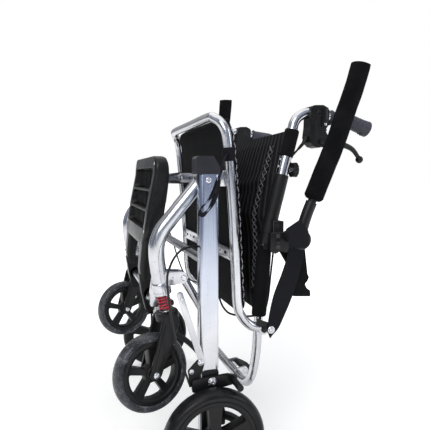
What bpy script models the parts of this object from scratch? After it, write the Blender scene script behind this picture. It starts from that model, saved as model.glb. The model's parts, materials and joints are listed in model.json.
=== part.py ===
"""A transport chair, folded and standing on its rear wheels and tipping levers.

+X is the chair's left, -Y its front and +Z is up, in metres. Points are given with Y measured aft from the
front corner line of the rear legs, and everything moves by MID_Y at the end, which centres the chair.
"""
import math

import bpy
import bmesh
from mathutils import Matrix, Vector

# Driving dimensions
MID_Y = 0.1008          # middle of the overall depth
LEG_X = (0.245, 0.275)  # rear leg extrusion, inner and outer face
LEG_Y = (-0.022, 0.0155)
LEG_Z = (0.088, 0.600)
PIVOT = (-0.006, 0.589)       # main pivot: rear leg, front frame and seat
WHEEL_C = (0.308, -0.006, 0.100)
WHEEL_R, WHEEL_W = 0.100, 0.038
FRONT_X, FRONT_R = 0.2253, 0.0155
STEM_TILT = math.radians(10.5)
STEM_REF = (-0.0882, 0.3848)  # a point on the castor stem's axis
CASTOR_R, CASTOR_W = 0.0762, 0.030
CASTOR_TRAIL, CASTOR_TURN = 0.0570, math.radians(17.0)
CASTOR_BELOW = 0.1575         # castor centre below STEM_REF along the stem
HINGE_F = (-0.092, 0.343)     # footplate hinge
STRUT_F = (-0.0457, 0.399)    # front strut on the front frame
STRUT_M = (0.009, 0.304)      # where the two struts meet
STRUT_R = (-0.006, 0.409)     # rear strut on the rear leg
BRAKE_P = (-0.0025, 0.204)    # brake arm pivot
LEVER_P = (0.2560, 0.6700)    # brake lever pivot
SEAT_X, SEAT_R = 0.210, 0.010
SEAT_B = (0.1345, 0.270)      # back hinge
U_X, U_R = 0.186, 0.010
BACK_X, BACK_R = 0.218, 0.01275
HANDLE_R, HANDLE_BORE = 0.01075, 0.0112
BACK_KINK, BACK_TOP = (0.1465, 0.500), (0.1945, 0.6900)
ARM_X, ARM_P = 0.2966, (0.1758, 0.4726)
FOAM_R = 0.0192
FAR_ARM_TURN = math.radians(12.5)
STRAP_BOLT = (0.1495, 0.2690)  # webbing strap's bolt on the seat tube
GAP = 0.0003

for old in list(bpy.data.objects):
    bpy.data.objects.remove(old, do_unlink=True)


# Shapes
def new_object(name, bm):
    """Closes a bmesh into an object with its faces out."""
    bmesh.ops.recalc_face_normals(bm, faces=bm.faces)
    mesh = bpy.data.meshes.new(name)
    bm.to_mesh(mesh)
    bm.free()
    obj = bpy.data.objects.new(name, mesh)
    bpy.context.scene.collection.objects.link(obj)
    return obj


def yz(x, points):
    return [Vector((x, y, z)) for y, z in points]


def smooth(points, per=4):
    """A Catmull-Rom curve through the points, with per steps between two of them."""
    pts = [Vector(p) for p in points]
    out = []
    for i in range(len(pts) - 1):
        a = pts[i - 1] if i else pts[0] * 2 - pts[1]
        b, c = pts[i], pts[i + 1]
        d = pts[i + 2] if i + 2 < len(pts) else pts[-1] * 2 - pts[-2]
        for k in range(per):
            t = k / per
            out.append(((b * 2) + (c - a) * t + (a * 2 - b * 5 + c * 4 - d) * t * t
                        + (b * 3 - a - c * 3 + d) * t * t * t) / 2)
    return out + [pts[-1]]


def rings(points, sides, radii, flat, up):
    """One ring of corners per point, carried along the path without twist."""
    pts = [Vector(p) for p in points]
    tangents = []
    for i in range(len(pts)):
        before, after = pts[max(i - 1, 0)], pts[min(i + 1, len(pts) - 1)]
        tangents.append((after - before).normalized())
    lead = Vector(up) if abs(tangents[0].dot(Vector(up))) < 0.9 else Vector((0, 0, 1))
    side = lead.cross(tangents[0]).normalized()
    out = []
    for point, tangent, radius in zip(pts, tangents, radii):
        side = (side - tangent * side.dot(tangent)).normalized()
        other = tangent.cross(side)
        out.append([point + side * radius * math.cos(a) + other * radius * flat * math.sin(a)
                    for a in (2 * math.pi * (k + 0.5) / sides for k in range(sides))])
    return out


def tube(points, radius, sides=10, inner=0, flat=1, up=(1, 0, 0), name="tube"):
    """A round bar along the points, or a pipe where inner is its bore; radius may be a list."""
    count = len(points)
    radii = radius if isinstance(radius, (list, tuple)) else [radius] * count
    bm = bmesh.new()
    outer = [[bm.verts.new(p) for p in r] for r in rings(points, sides, radii, flat, up)]
    skins = [outer]
    if inner:
        skins.append([[bm.verts.new(p) for p in r] for r in rings(points, sides, [inner] * count, flat, up)])
    for skin in skins:
        for low, high in zip(skin, skin[1:]):
            for k in range(sides):
                n = (k + 1) % sides
                bm.faces.new((low[k], low[n], high[n], high[k]))
    for end in (0, -1):
        if inner:
            for k in range(sides):
                n = (k + 1) % sides
                bm.faces.new((outer[end][k], outer[end][n], skins[1][end][n], skins[1][end][k]))
        else:
            bm.faces.new(outer[end])
    return new_object(name, bm)


def turned(profile, origin, axis=(1, 0, 0), sides=16, ring=False, name="turned"):
    """Turns (radius, distance) points about an axis; ring closes the profile on itself."""
    axis = Vector(axis).normalized()
    down = Vector((0, 0, -1)) if abs(axis.z) < 0.9 else Vector((0, -1, 0))
    first = (down - axis * down.dot(axis)).normalized()
    second = axis.cross(first)
    bm = bmesh.new()
    rows = []
    for radius, along in profile:
        rows.append([bm.verts.new(Vector(origin) + axis * along
                                  + (first * math.cos(a) + second * math.sin(a)) * radius)
                     for a in (2 * math.pi * k / sides for k in range(sides))])
    pairs = list(zip(rows, rows[1:])) + ([(rows[-1], rows[0])] if ring else [])
    for low, high in pairs:
        for k in range(sides):
            n = (k + 1) % sides
            bm.faces.new((low[k], low[n], high[n], high[k]))
    if not ring:
        bm.faces.new(rows[0])
        bm.faces.new(rows[-1])
    return new_object(name, bm)


def pin(y, z, radius, x0, x1, sides=8):
    return turned([(radius, x0), (radius, x1)], (0, y, z), sides=sides)


def prism(outline, axis, low, high, bevel=0, name="prism"):
    """Extrudes a flat outline along X, Y or Z; the outline holds the two other coordinates in order."""
    bm = bmesh.new()
    ends = []
    for value in (low, high):
        row = []
        for a, b in outline:
            at = {"x": (value, a, b), "y": (a, value, b), "z": (a, b, value)}[axis]
            row.append(bm.verts.new(at))
        ends.append(row)
    count = len(outline)
    for k in range(count):
        n = (k + 1) % count
        bm.faces.new((ends[0][k], ends[0][n], ends[1][n], ends[1][k]))
    bm.faces.new(ends[0])
    bm.faces.new(ends[1])
    if bevel:
        rims = [e for e in bm.edges if (e.verts[0] in ends[0]) == (e.verts[1] in ends[0])]
        bmesh.ops.bevel(bm, geom=rims, offset=bevel, segments=1, affect="EDGES")
    return new_object(name, bm)


def rounded(outline, radius, steps=2):
    """Rounds every corner of an outline with an arc of steps facets."""
    pts = [Vector(p) for p in outline]
    out = []
    for i, p in enumerate(pts):
        before, after = pts[i - 1] - p, pts[(i + 1) % len(pts)] - p
        half = before.angle(after) / 2
        reach = min(radius / math.tan(half), before.length * 0.49, after.length * 0.49)
        start, end = p + before.normalized() * reach, p + after.normalized() * reach
        for k in range(steps + 1):
            t = k / steps
            q = start.lerp(p, t).lerp(p.lerp(end, t), t)
            out.append((q.x, q.y))
    return out


def box2(a0, a1, b0, b1):
    return [(a0, b0), (a1, b0), (a1, b1), (a0, b1)]


def disc2(a, b, radius, steps=16, start=0.0, end=2 * math.pi):
    closed = end - start >= 2 * math.pi
    last = steps if closed else steps + 1
    return [(a + radius * math.cos(start + (end - start) * k / steps),
             b + radius * math.sin(start + (end - start) * k / steps)) for k in range(last)]


def link2(p, q, rp, rq, steps=5):
    """The outline of a bar with round ends about p and q."""
    angle = math.atan2(q[1] - p[1], q[0] - p[0])
    return (disc2(p[0], p[1], rp, steps, angle + math.pi / 2, angle + math.pi * 1.5)
            + disc2(q[0], q[1], rq, steps, angle - math.pi / 2, angle + math.pi / 2))


def boolean(base, tool, operation):
    mod = base.modifiers.new(operation.lower(), "BOOLEAN")
    mod.operation = operation
    mod.object = tool
    mod.solver = "EXACT"
    graph = bpy.context.evaluated_depsgraph_get()
    graph.update()
    mesh = bpy.data.meshes.new_from_object(base.evaluated_get(graph))
    base.modifiers.clear()
    base.data = mesh
    bpy.data.objects.remove(tool, do_unlink=True)


def solid(name, parts, cuts=(), origin=None, look=None):
    """Unions the parts, cuts the cutters away and gives the node its name, origin and material."""
    base = parts[0]
    for other in parts[1:]:
        boolean(base, other, "UNION")
    for cutter in cuts:
        boolean(base, cutter, "DIFFERENCE")
    base.name = name
    base.data.name = name
    if origin is not None:
        base.data.transform(Matrix.Translation(-Vector(origin)))
        base.location = Vector(origin)
    if look:
        paint(base, look)
    return base


LOOKS = {  # colour, roughness, metallic
    "satin alloy": ((0.66, 0.67, 0.69), 0.24, 1.0),
    "bright steel": ((0.72, 0.72, 0.74), 0.18, 1.0),
    "black plastic": ((0.018, 0.018, 0.020), 0.42, 0.0),
    "black tube": ((0.016, 0.016, 0.018), 0.35, 0.0),
    "rubber": ((0.022, 0.022, 0.023), 0.62, 0.0),
    "smoky tyre": ((0.16, 0.16, 0.17), 0.32, 0.0),
    "foam": ((0.016, 0.016, 0.017), 0.85, 0.0),
    "cloth": ((0.022, 0.022, 0.024), 0.9, 0.0),
    "grip": ((0.10, 0.12, 0.15), 0.6, 0.0),
    "red": ((0.45, 0.01, 0.03), 0.35, 0.0),
}


def paint(obj, look):
    colour, rough, metal = LOOKS[look]
    mat = bpy.data.materials.new(obj.name)
    mat.use_nodes = True
    shader = mat.node_tree.nodes["Principled BSDF"]
    shader.inputs["Base Color"].default_value = (*colour, 1)
    shader.inputs["Roughness"].default_value = rough
    shader.inputs["Metallic"].default_value = metal
    mat.diffuse_color = (*colour, 1)
    obj.data.materials.clear()
    obj.data.materials.append(mat)
    obj.data.shade_smooth()
    obj.data.set_sharp_from_angle(angle=math.radians(35))


def far_copy(obj, turn=None):
    """The right-hand twin of a left-hand node, mirrored through the middle of the chair."""
    mesh = obj.data.copy()
    mesh.transform(Matrix.Scale(-1, 4, (1, 0, 0)))
    mesh.flip_normals()
    twin = bpy.data.objects.new(obj.name[:-2] + "_r", mesh)
    twin.location = Vector((-obj.location.x, obj.location.y, obj.location.z))
    if turn:
        mesh.transform(Matrix.Rotation(turn, 4, "X"))
    bpy.context.scene.collection.objects.link(twin)
    mat = obj.data.materials[0].copy()
    mat.name = twin.name
    mesh.materials.clear()
    mesh.materials.append(mat)
    return twin


def pair(name, parts, cuts=(), origin=None, look=None, turn=None):
    near = solid(name + "_l", parts, cuts, origin, look)
    return near, far_copy(near, turn)


# Rear frame
def leg_section(x0, x1, y0, y1, radius):
    return rounded(box2(x0, x1, y0, y1), radius, 2)


def rear_frame():
    (x0, x1), (y0, y1), (z0, z1) = LEG_X, LEG_Y, LEG_Z
    wall = 0.0024
    ay, az = PIVOT
    pair("rear_leg", [
        prism(leg_section(x0, x1, y0, y1, 0.008), "z", z0, z1),
        pin(ay, az, 0.005, 0.1965, x1 - 0.001),
        pin(ay, az, 0.0085, 0.1940, 0.1975),
        pin(ay, az, 0.009, x1 - 0.001, x1 + 0.0013, 12),
        pin(STRUT_R[0], STRUT_R[1], 0.004, 0.2335, x0 + 0.001),
        pin(STRUT_R[0], STRUT_R[1], 0.0065, 0.2322, 0.2342),
        pin(BRAKE_P[0], BRAKE_P[1], 0.0045, x1 - 0.001, 0.2880),
        pin(BRAKE_P[0], BRAKE_P[1], 0.0085, 0.2864, 0.2885, 12),
    ], [prism(leg_section(x0 + wall, x1 - wall, y0 + wall, y1 - wall, 0.006), "z", z0 - 0.01, z1 - 0.05)],
        look="satin alloy")
    cap = [(y0 - 0.008, z1 + GAP), (y1 + 0.001, z1 + GAP), (y1 + 0.001, 0.613), (0.006, 0.634),
           (-0.026, 0.634), (y0 - 0.008, 0.627)]
    pair("leg_cap", [prism(rounded(cap, 0.004, 1), "x", x0 - 0.0015, x1 + 0.0013, 0.002)],
         look="black plastic")
    solid("rear_cross_tube", [tube([(-x0 + GAP, -0.005, 0.432), (x0 - GAP, -0.005, 0.432)], 0.010, 12)],
          look="satin alloy")
    wx, wy, wz = WHEEL_C
    thick = [(-0.024, 0.173), (0.012, 0.173), (0.0155, 0.150), (0.0155, 0.088), (-0.0005, 0.074),
             (-0.0155, 0.078), (-0.024, 0.090)]
    thin = [(-0.019, 0.223), (0.0135, 0.223), (0.0135, 0.160), (-0.019, 0.160)]
    pair("wheel_bracket", [
        prism(rounded(thick, 0.006, 1), "x", x1 + GAP, 0.2862),
        prism(rounded(thin, 0.006, 1), "x", x1 + GAP, x1 + 0.0015),
        pin(wy, wz, 0.006, 0.2850, 0.3300, 10),
        pin(wy, wz, 0.012, 0.2850, 0.2880, 10),
        pin(wy, wz, 0.0105, 0.3280, 0.3335, 6),
    ], [pin(BRAKE_P[0], BRAKE_P[1], 0.0055, 0.270, 0.280, 10)], look="black plastic")
    route = smooth([(0.260, 0.0195, 0.122), (0.260, 0.045, 0.112), (0.260, 0.085, 0.080),
                    (0.260, 0.118, 0.045), (0.260, 0.135, 0.0165)], 2)
    pair("tipping_lever", [
        tube(route, 0.0085, 8),
        prism(rounded(box2(0.248, 0.272, 0.104, 0.140), 0.006, 1), "y", y1 + GAP, 0.029),
        turned([(0.0135, 0.0), (0.0150, 0.004), (0.0135, 0.024), (0.0105, 0.028)], (0.260, 0.137, 0),
               (0, 0, 1), 12),
    ], look="black tube")


# Wheels
def wheel(name, tag, centre, axis, radius, width, tyre, hub, bore, spoke, sides):
    """A moulded wheel with five spokes, and its tyre."""
    half = width / 2
    seat = radius - tyre
    rim = [(seat - GAP, -half * 0.82), (seat - GAP, half * 0.82), (seat - 0.0080, half * 0.80),
           (seat - 0.0080, -half * 0.80)]
    parts = [turned(rim, centre, axis, sides, ring=True),
             turned([(bore, -half), (hub, -half), (hub, half), (bore, half)], centre, axis, 8, ring=True)]
    axis = Vector(axis).normalized()
    lean = Vector((0, 0, 1)).cross(axis).normalized()
    rise = axis.cross(lean)
    for k in range(5):
        a = 2 * math.pi * (k + 0.25) / 5
        out = lean * math.cos(a) + rise * math.sin(a)
        across = axis.cross(out)
        bm = bmesh.new()
        rows = []
        for dist, wide in ((hub * 0.72, spoke * 0.85), (seat - 0.006, spoke * 1.1)):
            rows.append([bm.verts.new(Vector(centre) + out * dist + across * wide * 0.5 * s
                                      + axis * half * 0.62 * h)
                         for s, h in ((-1, -1), (1, -1), (1, 1), (-1, 1))])
        for low, high in zip(rows, rows[1:]):
            for i in range(4):
                n = (i + 1) % 4
                bm.faces.new((low[i], low[n], high[n], high[i]))
        bm.faces.new(rows[0])
        bm.faces.new(rows[-1])
        parts.append(new_object("spoke", bm))
    solid(name + "_wheel" + tag, parts, origin=centre, look="black plastic")
    t = tyre
    crown = [(seat, -half * 0.85), (seat + t * 0.70, -half), (radius, -half * 0.55),
             (radius, half * 0.55), (seat + t * 0.70, half), (seat, half * 0.85)]
    solid(name + "_tyre" + tag, [turned(crown, centre, axis, sides, ring=True)], origin=centre,
          look="rubber" if name == "rear" else "smoky tyre")


def rear_wheels():
    wx, wy, wz = WHEEL_C
    for side, tag in ((1, "_l"), (-1, "_r")):
        wheel("rear", tag, (side * wx, wy, wz), (1, 0, 0), WHEEL_R, WHEEL_W, 0.0180, 0.021, 0.0067, 0.026, 24)


def stem_point(below):
    """The castor stem's point this far below STEM_REF, and its upward direction."""
    up = Vector((0, -math.sin(STEM_TILT), math.cos(STEM_TILT)))
    return Vector((FRONT_X, *STEM_REF)) - up * below, up


def castors():
    """Stem, spring, fork and wheel, both forks turned the same way about their stems by CASTOR_TURN."""
    ref, up = stem_point(0)
    low, _ = stem_point(0.050)
    pair("stem", [turned([(0.0050, -0.0545), (0.0050, 0.0060)], ref, up, 10),
                  turned([(0.0132, -0.0520), (0.0132, -0.0497)], ref, up, 14)],
         origin=low, look="bright steel")
    curls, mean, wire = 4, 0.0115, 0.0016
    first = Vector((1, 0, 0))
    second = up.cross(first)
    steps = curls * 8
    coil = []
    for k in range(steps + 1):
        a = 2 * math.pi * curls * k / steps
        rise = -0.0475 + 0.0265 * k / steps
        coil.append(ref + up * rise + first * mean * math.cos(a) + second * mean * math.sin(a))
    least = min((coil[i] - coil[j]).length for i in range(steps) for j in range(i + 5, steps))
    print("spring: least gap between curls %.2f mm" % ((least - 2 * wire) * 1000))
    pair("spring", [coil_tube(coil, wire)], look="red")
    forward = Vector((0, -math.cos(STEM_TILT), -math.sin(STEM_TILT)))
    hub_at, _ = stem_point(CASTOR_BELOW)
    centre = hub_at + forward * CASTOR_TRAIL
    inner, outer = 0.0178, 0.0238
    top = ref - up * 0.0525
    crown = turned([(0.0235, -0.0690), (0.0235, -0.0560), (0.0200, -0.0524)], ref, up, 14)
    plates = []
    outline = link2((centre.y, centre.z), (top.y - 0.002, top.z - 0.020), 0.0115, 0.0185, 5)
    for sign in (-1, 1):
        near, far = sorted((FRONT_X + sign * inner, FRONT_X + sign * outer))
        plates.append(prism(outline, "x", near, far))
    axle = [pin(centre.y, centre.z, 0.004, FRONT_X - outer + 0.001, FRONT_X + outer - 0.001),
            pin(centre.y, centre.z, 0.0075, FRONT_X - outer - 0.0032, FRONT_X - outer + 0.001),
            pin(centre.y, centre.z, 0.0075, FRONT_X + outer - 0.001, FRONT_X + outer + 0.0032)]
    fork = solid("fork_l", [crown] + plates + axle,
                 [turned([(0.0053, -0.0610), (0.0055, -0.0500)], ref, up, 10)], look="black plastic")
    spin = Matrix.Rotation(CASTOR_TURN, 4, up)
    for obj, side, tag in ((fork, 1, "_l"), (far_copy(fork), -1, "_r")):
        mirror = Vector((side, 1, 1))
        obj.data.transform(spin @ Matrix.Translation(-ref * mirror))
        obj.data.transform(Matrix.Translation((ref - low) * mirror))
        obj.location = low * mirror
        hub = ref * mirror + spin @ ((centre - ref) * mirror)
        wheel("castor", tag, hub, spin @ Vector((1, 0, 0)), CASTOR_R, CASTOR_W, 0.0150, 0.014, 0.0047,
              0.016, 20)


def coil_tube(points, radius, resolution=1):
    """A wire as a bevelled curve, read as a mesh."""
    curve = bpy.data.curves.new("coil", "CURVE")
    curve.dimensions = "3D"
    curve.bevel_depth = radius
    curve.bevel_resolution = resolution
    curve.use_fill_caps = True
    line = curve.splines.new("POLY")
    line.points.add(len(points) - 1)
    for target, point in zip(line.points, points):
        target.co = (*point, 1)
    holder = bpy.data.objects.new("coil", curve)
    bpy.context.scene.collection.objects.link(holder)
    graph = bpy.context.evaluated_depsgraph_get()
    graph.update()
    bm = bmesh.new()
    bm.from_mesh(bpy.data.meshes.new_from_object(holder.evaluated_get(graph)))
    bmesh.ops.remove_doubles(bm, verts=bm.verts, dist=0.00001)
    bpy.data.objects.remove(holder, do_unlink=True)
    return new_object("coil", bm)


# Front frame
def front_frame():
    ref, up = stem_point(0)
    path = smooth(yz(FRONT_X, [(-0.008, 0.5865), (-0.0228, 0.5676), (-0.0692, 0.5128), (-0.0872, 0.489),
                               (-0.0952, 0.466), (-0.0964, 0.4445), (-0.0938, 0.4188)]), 2)
    path += [ref + up * 0.010, ref - up * 0.008]
    ears = rounded([(-0.094, 0.384), (-0.0450, 0.388), (-0.0340, 0.399), (-0.0450, 0.4105), (-0.094, 0.416)],
                   0.008, 1)
    fy, fz = STRUT_F
    x0, x1 = FRONT_X - FRONT_R - 0.0002, FRONT_X + FRONT_R + 0.0002
    hy, hz = HINGE_F
    lug = [(hy - 0.0125, hz - 0.009), (hy + 0.0110, hz - 0.009), (-0.074, 0.372), (-0.074, 0.402),
           (-0.100, 0.402), (hy - 0.0135, 0.362)]
    parts = []
    cuts = []
    for side in (1, -1):
        parts += [
            tube([Vector((p.x * side, p.y, p.z)) for p in path], FRONT_R, 10),
            pin(*PIVOT, 0.0165, min(x0 * side, x1 * side), max(x0 * side, x1 * side), 12),
            turned([(0.0178, -0.0180), (0.0178, 0.0040), (0.0160, 0.0065)],
                   (ref.x * side, ref.y, ref.z), up, 10),
        ]
        for a, b in ((0.2110, 0.2153), (0.2350, 0.2388)):
            parts.append(prism(ears, "x", min(a * side, b * side), max(a * side, b * side)))
        parts += [
            pin(fy, fz, 0.004, min(0.2140 * side, 0.2425 * side), max(0.2140 * side, 0.2425 * side)),
            pin(fy, fz, 0.0075, min(0.2380 * side, 0.2425 * side), max(0.2380 * side, 0.2425 * side), 6),
            prism(rounded(lug, 0.005, 1), "x", min(0.1880 * side, 0.1972 * side),
                  max(0.1880 * side, 0.1972 * side)),
            prism(box2(-0.098, -0.079, 0.3745, 0.3985), "x", min(0.193 * side, 0.216 * side),
                  max(0.193 * side, 0.216 * side)),
        ]
        cuts += [
            pin(*PIVOT, 0.0053, min(0.20 * side, 0.25 * side), max(0.20 * side, 0.25 * side), 10),
            turned([(0.0058, -0.030), (0.0058, 0.0135)], (ref.x * side, ref.y, ref.z), up, 12),
        ]
    parts.append(tube([(-0.195, hy, hz), (0.195, hy, hz)], 0.0095, 10))
    solid("front_frame", parts, cuts, origin=(0, *PIVOT), look="satin alloy")


def struts():
    my, mz = STRUT_M
    fy, fz = STRUT_F
    ry, rz = STRUT_R
    lean = (Vector((0, my - fy, mz - fz))).normalized()
    start = Vector((FRONT_X, fy, fz))
    end = Vector((FRONT_X, my, mz))
    pair("front_strut", [tube([start + lean * 0.006, end - lean * 0.004], 0.0086, 8),
                         pin(fy, fz, 0.0095, 0.2160, 0.2343, 10), pin(my, mz, 0.0090, 0.2170, 0.2336, 10)],
         [pin(fy, fz, 0.0045, 0.20, 0.25)], origin=(FRONT_X, fy, fz), look="satin alloy")
    pair("rear_strut", [prism(link2((ry, rz), (my, mz), 0.008, 0.008), "x", 0.2362, 0.2430)],
         [pin(ry, rz, 0.0045, 0.22, 0.25)], origin=(0.2396, ry, rz), look="satin alloy")


def plate_front(z):
    """The footplate's front face, folded up: Y for a height."""
    pts = [(0.340, -0.112), (0.400, -0.117), (0.455, -0.112), (0.475, -0.108), (0.530, -0.099),
           (0.600, -0.0845), (0.640, -0.0815)]
    for (za, ya), (zb, yb) in zip(pts, pts[1:]):
        if z <= zb:
            return ya + (yb - ya) * (z - za) / (zb - za)
    return pts[-1][1]


def footplate():
    def slab(x0, x1, stations, bevel, sink=0):
        """A plate between two widths through (z, inset, thickness) stations, rounded along its rims."""
        bm = bmesh.new()
        rows = []
        for z, inset, thick in stations:
            yf = plate_front(z) + sink
            a, b, r = x0 + inset, x1 - inset, bevel
            ring = [(a + r, yf), (b - r, yf), (b, yf + r), (b, yf + thick - r), (b - r, yf + thick),
                    (a + r, yf + thick), (a, yf + thick - r), (a, yf + r)]
            rows.append([bm.verts.new((x, y, z)) for x, y in ring])
        for low, high in zip(rows, rows[1:]):
            for k in range(8):
                n = (k + 1) % 8
                bm.faces.new((low[k], low[n], high[n], high[k]))
        bm.faces.new(rows[0])
        bm.faces.new(rows[-1])
        return new_object("slab", bm)

    body = [(0.452, 0.026, 0.026), (0.458, 0.012, 0.030), (0.472, 0.003, 0.034), (0.49, 0, 0.036),
            (0.53, 0, 0.037), (0.57, 0, 0.034), (0.60, 0, 0.031), (0.622, 0.002, 0.029),
            (0.634, 0.010, 0.026), (0.640, 0.026, 0.020)]
    parts = [slab(-0.150, 0.150, body, 0.006)]
    hy, hz = HINGE_F
    for side in (-1, 1):
        a, b = sorted((side * 0.092, side * 0.136))
        arm = [(0.372, 0.008, 0.020), (0.400, 0.003, 0.024), (0.43, 0.0, 0.027), (0.4785, -0.006, 0.030)]
        parts.append(slab(a, b, arm, 0.005, 0.0015))
        a, b = sorted((side * 0.101, side * 0.128))
        neck = [(hy - 0.0250, 0.3860), (hy - 0.0190, 0.3450), (hy - 0.0100, 0.3060), (hy - 0.0020, 0.3030),
                (hy + 0.0060, 0.3060), (hy + 0.0105, 0.3300), (hy + 0.0130, 0.3480), (hy + 0.0070, 0.3860)]
        parts.append(prism(rounded(neck, 0.003, 1), "x", a, b))
        parts.append(pin(hy, hz, 0.0155, a, b, 12))
    cuts = []
    for z0, z1 in ((0.486, 0.520), (0.526, 0.562), (0.568, 0.612)):
        mid = (z0 + z1) / 2
        hollow = rounded(box2(-0.122, 0.122, z0, z1), 0.010, 1)
        cuts.append(prism(hollow, "y", plate_front(mid) - 0.03, plate_front(mid) + 0.016))
    cuts.append(pin(hy, hz, 0.0101, -0.14, 0.14, 12))
    solid("footplate", parts, cuts, origin=(0, hy, hz), look="black plastic")


# Seat
def seat_y(z):
    """The middle plane of the folded seat: Y for a height."""
    pts = [(0.300, 0.0870), (0.3262, 0.0771), (0.3864, 0.0735), (0.5147, 0.0668), (0.6376, 0.0568),
           (0.6647, 0.0542), (0.6837, 0.0511), (0.7074, 0.0443), (0.7200, 0.0345)]
    for (za, ya), (zb, yb) in zip(pts, pts[1:]):
        if z <= zb:
            return ya + (yb - ya) * (z - za) / (zb - za)
    return pts[-1][1]


def seat():
    half = [(SEAT_X, 0.1550, 0.2660), (SEAT_X, 0.1244, 0.2735), (SEAT_X, 0.1058, 0.2801),
            (SEAT_X, 0.0874, 0.2993), (SEAT_X, 0.0771, 0.3262), (SEAT_X, 0.0735, 0.3864),
            (SEAT_X, 0.0668, 0.5147), (SEAT_X, 0.0568, 0.6376), (SEAT_X, 0.0542, 0.6647),
            (SEAT_X - 0.001, 0.0500, 0.6880), (SEAT_X - 0.009, 0.0425, 0.7050),
            (SEAT_X - 0.027, 0.0345, 0.7160), (SEAT_X - 0.055, 0.0300, 0.7200)]
    loop = half + [(-x, y, z) for x, y, z in reversed(half)]
    parts = [tube([Vector(p) for p in loop], SEAT_R, 10)]
    by, bz = SEAT_B
    cuts = []
    for z in (0.5925, 0.432):
        y = seat_y(z)
        parts.append(prism(rounded(box2(-0.206, 0.206, z - 0.013, z + 0.013), 0.003, 1), "y",
                           y - 0.0062, y - 0.0022))
        for x in (-0.13, 0, 0.13):
            cuts.append(turned([(0.0035, -0.02), (0.0035, 0.02)], (x, y, z), (0, 1, 0), 6))
    for side in (1, -1):
        a, b = sorted((side * 0.1985, side * 0.2045))
        parts.append(prism(link2(PIVOT, (0.0585, 0.5925), 0.0125, 0.017), "x", a, b))
        a, b = sorted((side * 0.2003, side * 0.2197))
        parts.append(pin(by, bz, 0.0115, a, b, 12))
        a, b = sorted((side * 0.2150, side * 0.2237))
        parts.append(pin(*STRAP_BOLT, 0.0042, a, b))
        a, b = sorted((side * 0.2230, side * 0.2262))
        parts.append(pin(*STRAP_BOLT, 0.0080, a, b, 10))
        a, b = sorted((side * 0.19, side * 0.23))
        cuts.append(pin(by, bz, 0.0055, a, b, 10))
        cuts.append(pin(*PIVOT, 0.0055, a, b, 10))
    solid("seat_frame", parts, cuts, origin=(0, *PIVOT), look="satin alloy")

    rows = [0.312, 0.3262, 0.3500, 0.3864, 0.44, 0.50, 0.56, 0.62, 0.66, 0.685, 0.700]
    halves = [0.1965] * 9 + [0.188, 0.168]
    panel = sheet_solid([(z, seat_y(z) + 0.0005, seat_y(z) + 0.0100, w) for z, w in zip(rows, halves)])
    solid("seat_panel", [panel], origin=(0, *PIVOT), look="cloth")
    solid("seat_pad", [cushion()], origin=(0, *PIVOT), look="cloth")


def sheet_solid(stations):
    """A plate whose rows are (height, front Y, back Y, half width)."""
    bm = bmesh.new()
    rows = []
    for z, front, back, half in stations:
        rows.append([bm.verts.new((x, y, z)) for x, y in
                     ((-half, front), (half, front), (half, back), (-half, back))])
    for low, high in zip(rows, rows[1:]):
        for k in range(4):
            n = (k + 1) % 4
            bm.faces.new((low[k], low[n], high[n], high[k]))
    bm.faces.new(rows[0])
    bm.faces.new(rows[-1])
    return new_object("sheet", bm)


def cushion():
    """The seat cushion: flat towards its board, crowned behind, its sides drawn in between the corners."""
    z0, z1, half = 0.313, 0.7145, 0.1915
    across, along = 12, 10
    bm = bmesh.new()
    front, back = [], []
    for j in range(along + 1):
        v = math.sin(math.pi * (j / along - 0.5))
        frow, brow = [], []
        for i in range(across + 1):
            u = math.sin(math.pi * (i / across - 0.5))
            waist = 1 - 0.022 * (1 - v * v)
            x = u * half * waist * (1 - 0.030 * v ** 8)
            z = (z0 + z1) / 2 + v * (z1 - z0) / 2 * (1 - 0.012 * (1 - u * u)) * (1 - 0.014 * u ** 8)
            fall = (1 - abs(u) ** 5) ** 0.5 * (1 - abs(v) ** 7) ** 0.5
            base = seat_y(min(z, 0.705)) + 0.0112
            frow.append(bm.verts.new((x, base + 0.0030 * (1 - fall), z)))
            brow.append(bm.verts.new((x, base + 0.0065 + 0.0215 * fall * (0.88 + 0.12 * (1 - u * u)), z)))
        front.append(frow)
        back.append(brow)
    for j in range(along):
        for i in range(across):
            bm.faces.new((front[j][i], front[j][i + 1], front[j + 1][i + 1], front[j + 1][i]))
            bm.faces.new((back[j][i], back[j + 1][i], back[j + 1][i + 1], back[j][i + 1]))
    for j in range(along):
        for i in (0, across):
            bm.faces.new((front[j][i], front[j + 1][i], back[j + 1][i], back[j][i]))
    for i in range(across):
        for j in (0, along):
            bm.faces.new((front[j][i], front[j][i + 1], back[j][i + 1], back[j][i]))
    return new_object("cushion", bm)


# Back
def back_line(z):
    """The outer back tube's centre: Y for a height."""
    (ka, kz), (ta, tz) = BACK_KINK, BACK_TOP
    return ka + (ta - ka) * (z - kz) / (tz - kz)


def u_line(z):
    pts = [(0.1697, 0.1255), (0.215, 0.1315), (0.270, 0.1345), (0.437, 0.1480), (0.500, 0.1530)]
    for (za, ya), (zb, yb) in zip(pts, pts[1:]):
        if z <= zb:
            return ya + (yb - ya) * (z - za) / (zb - za)
    return pts[-1][1]


def elbow(side, radius, past=0):
    """The short bar between the inner bow and the outer back tube."""
    return tube([(side * (U_X - 0.003), u_line(0.46), 0.4615),
                 (side * (BACK_X + 0.002 + past), back_line(0.466), 0.4660)], radius, 10, up=(0, 1, 0))


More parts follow.
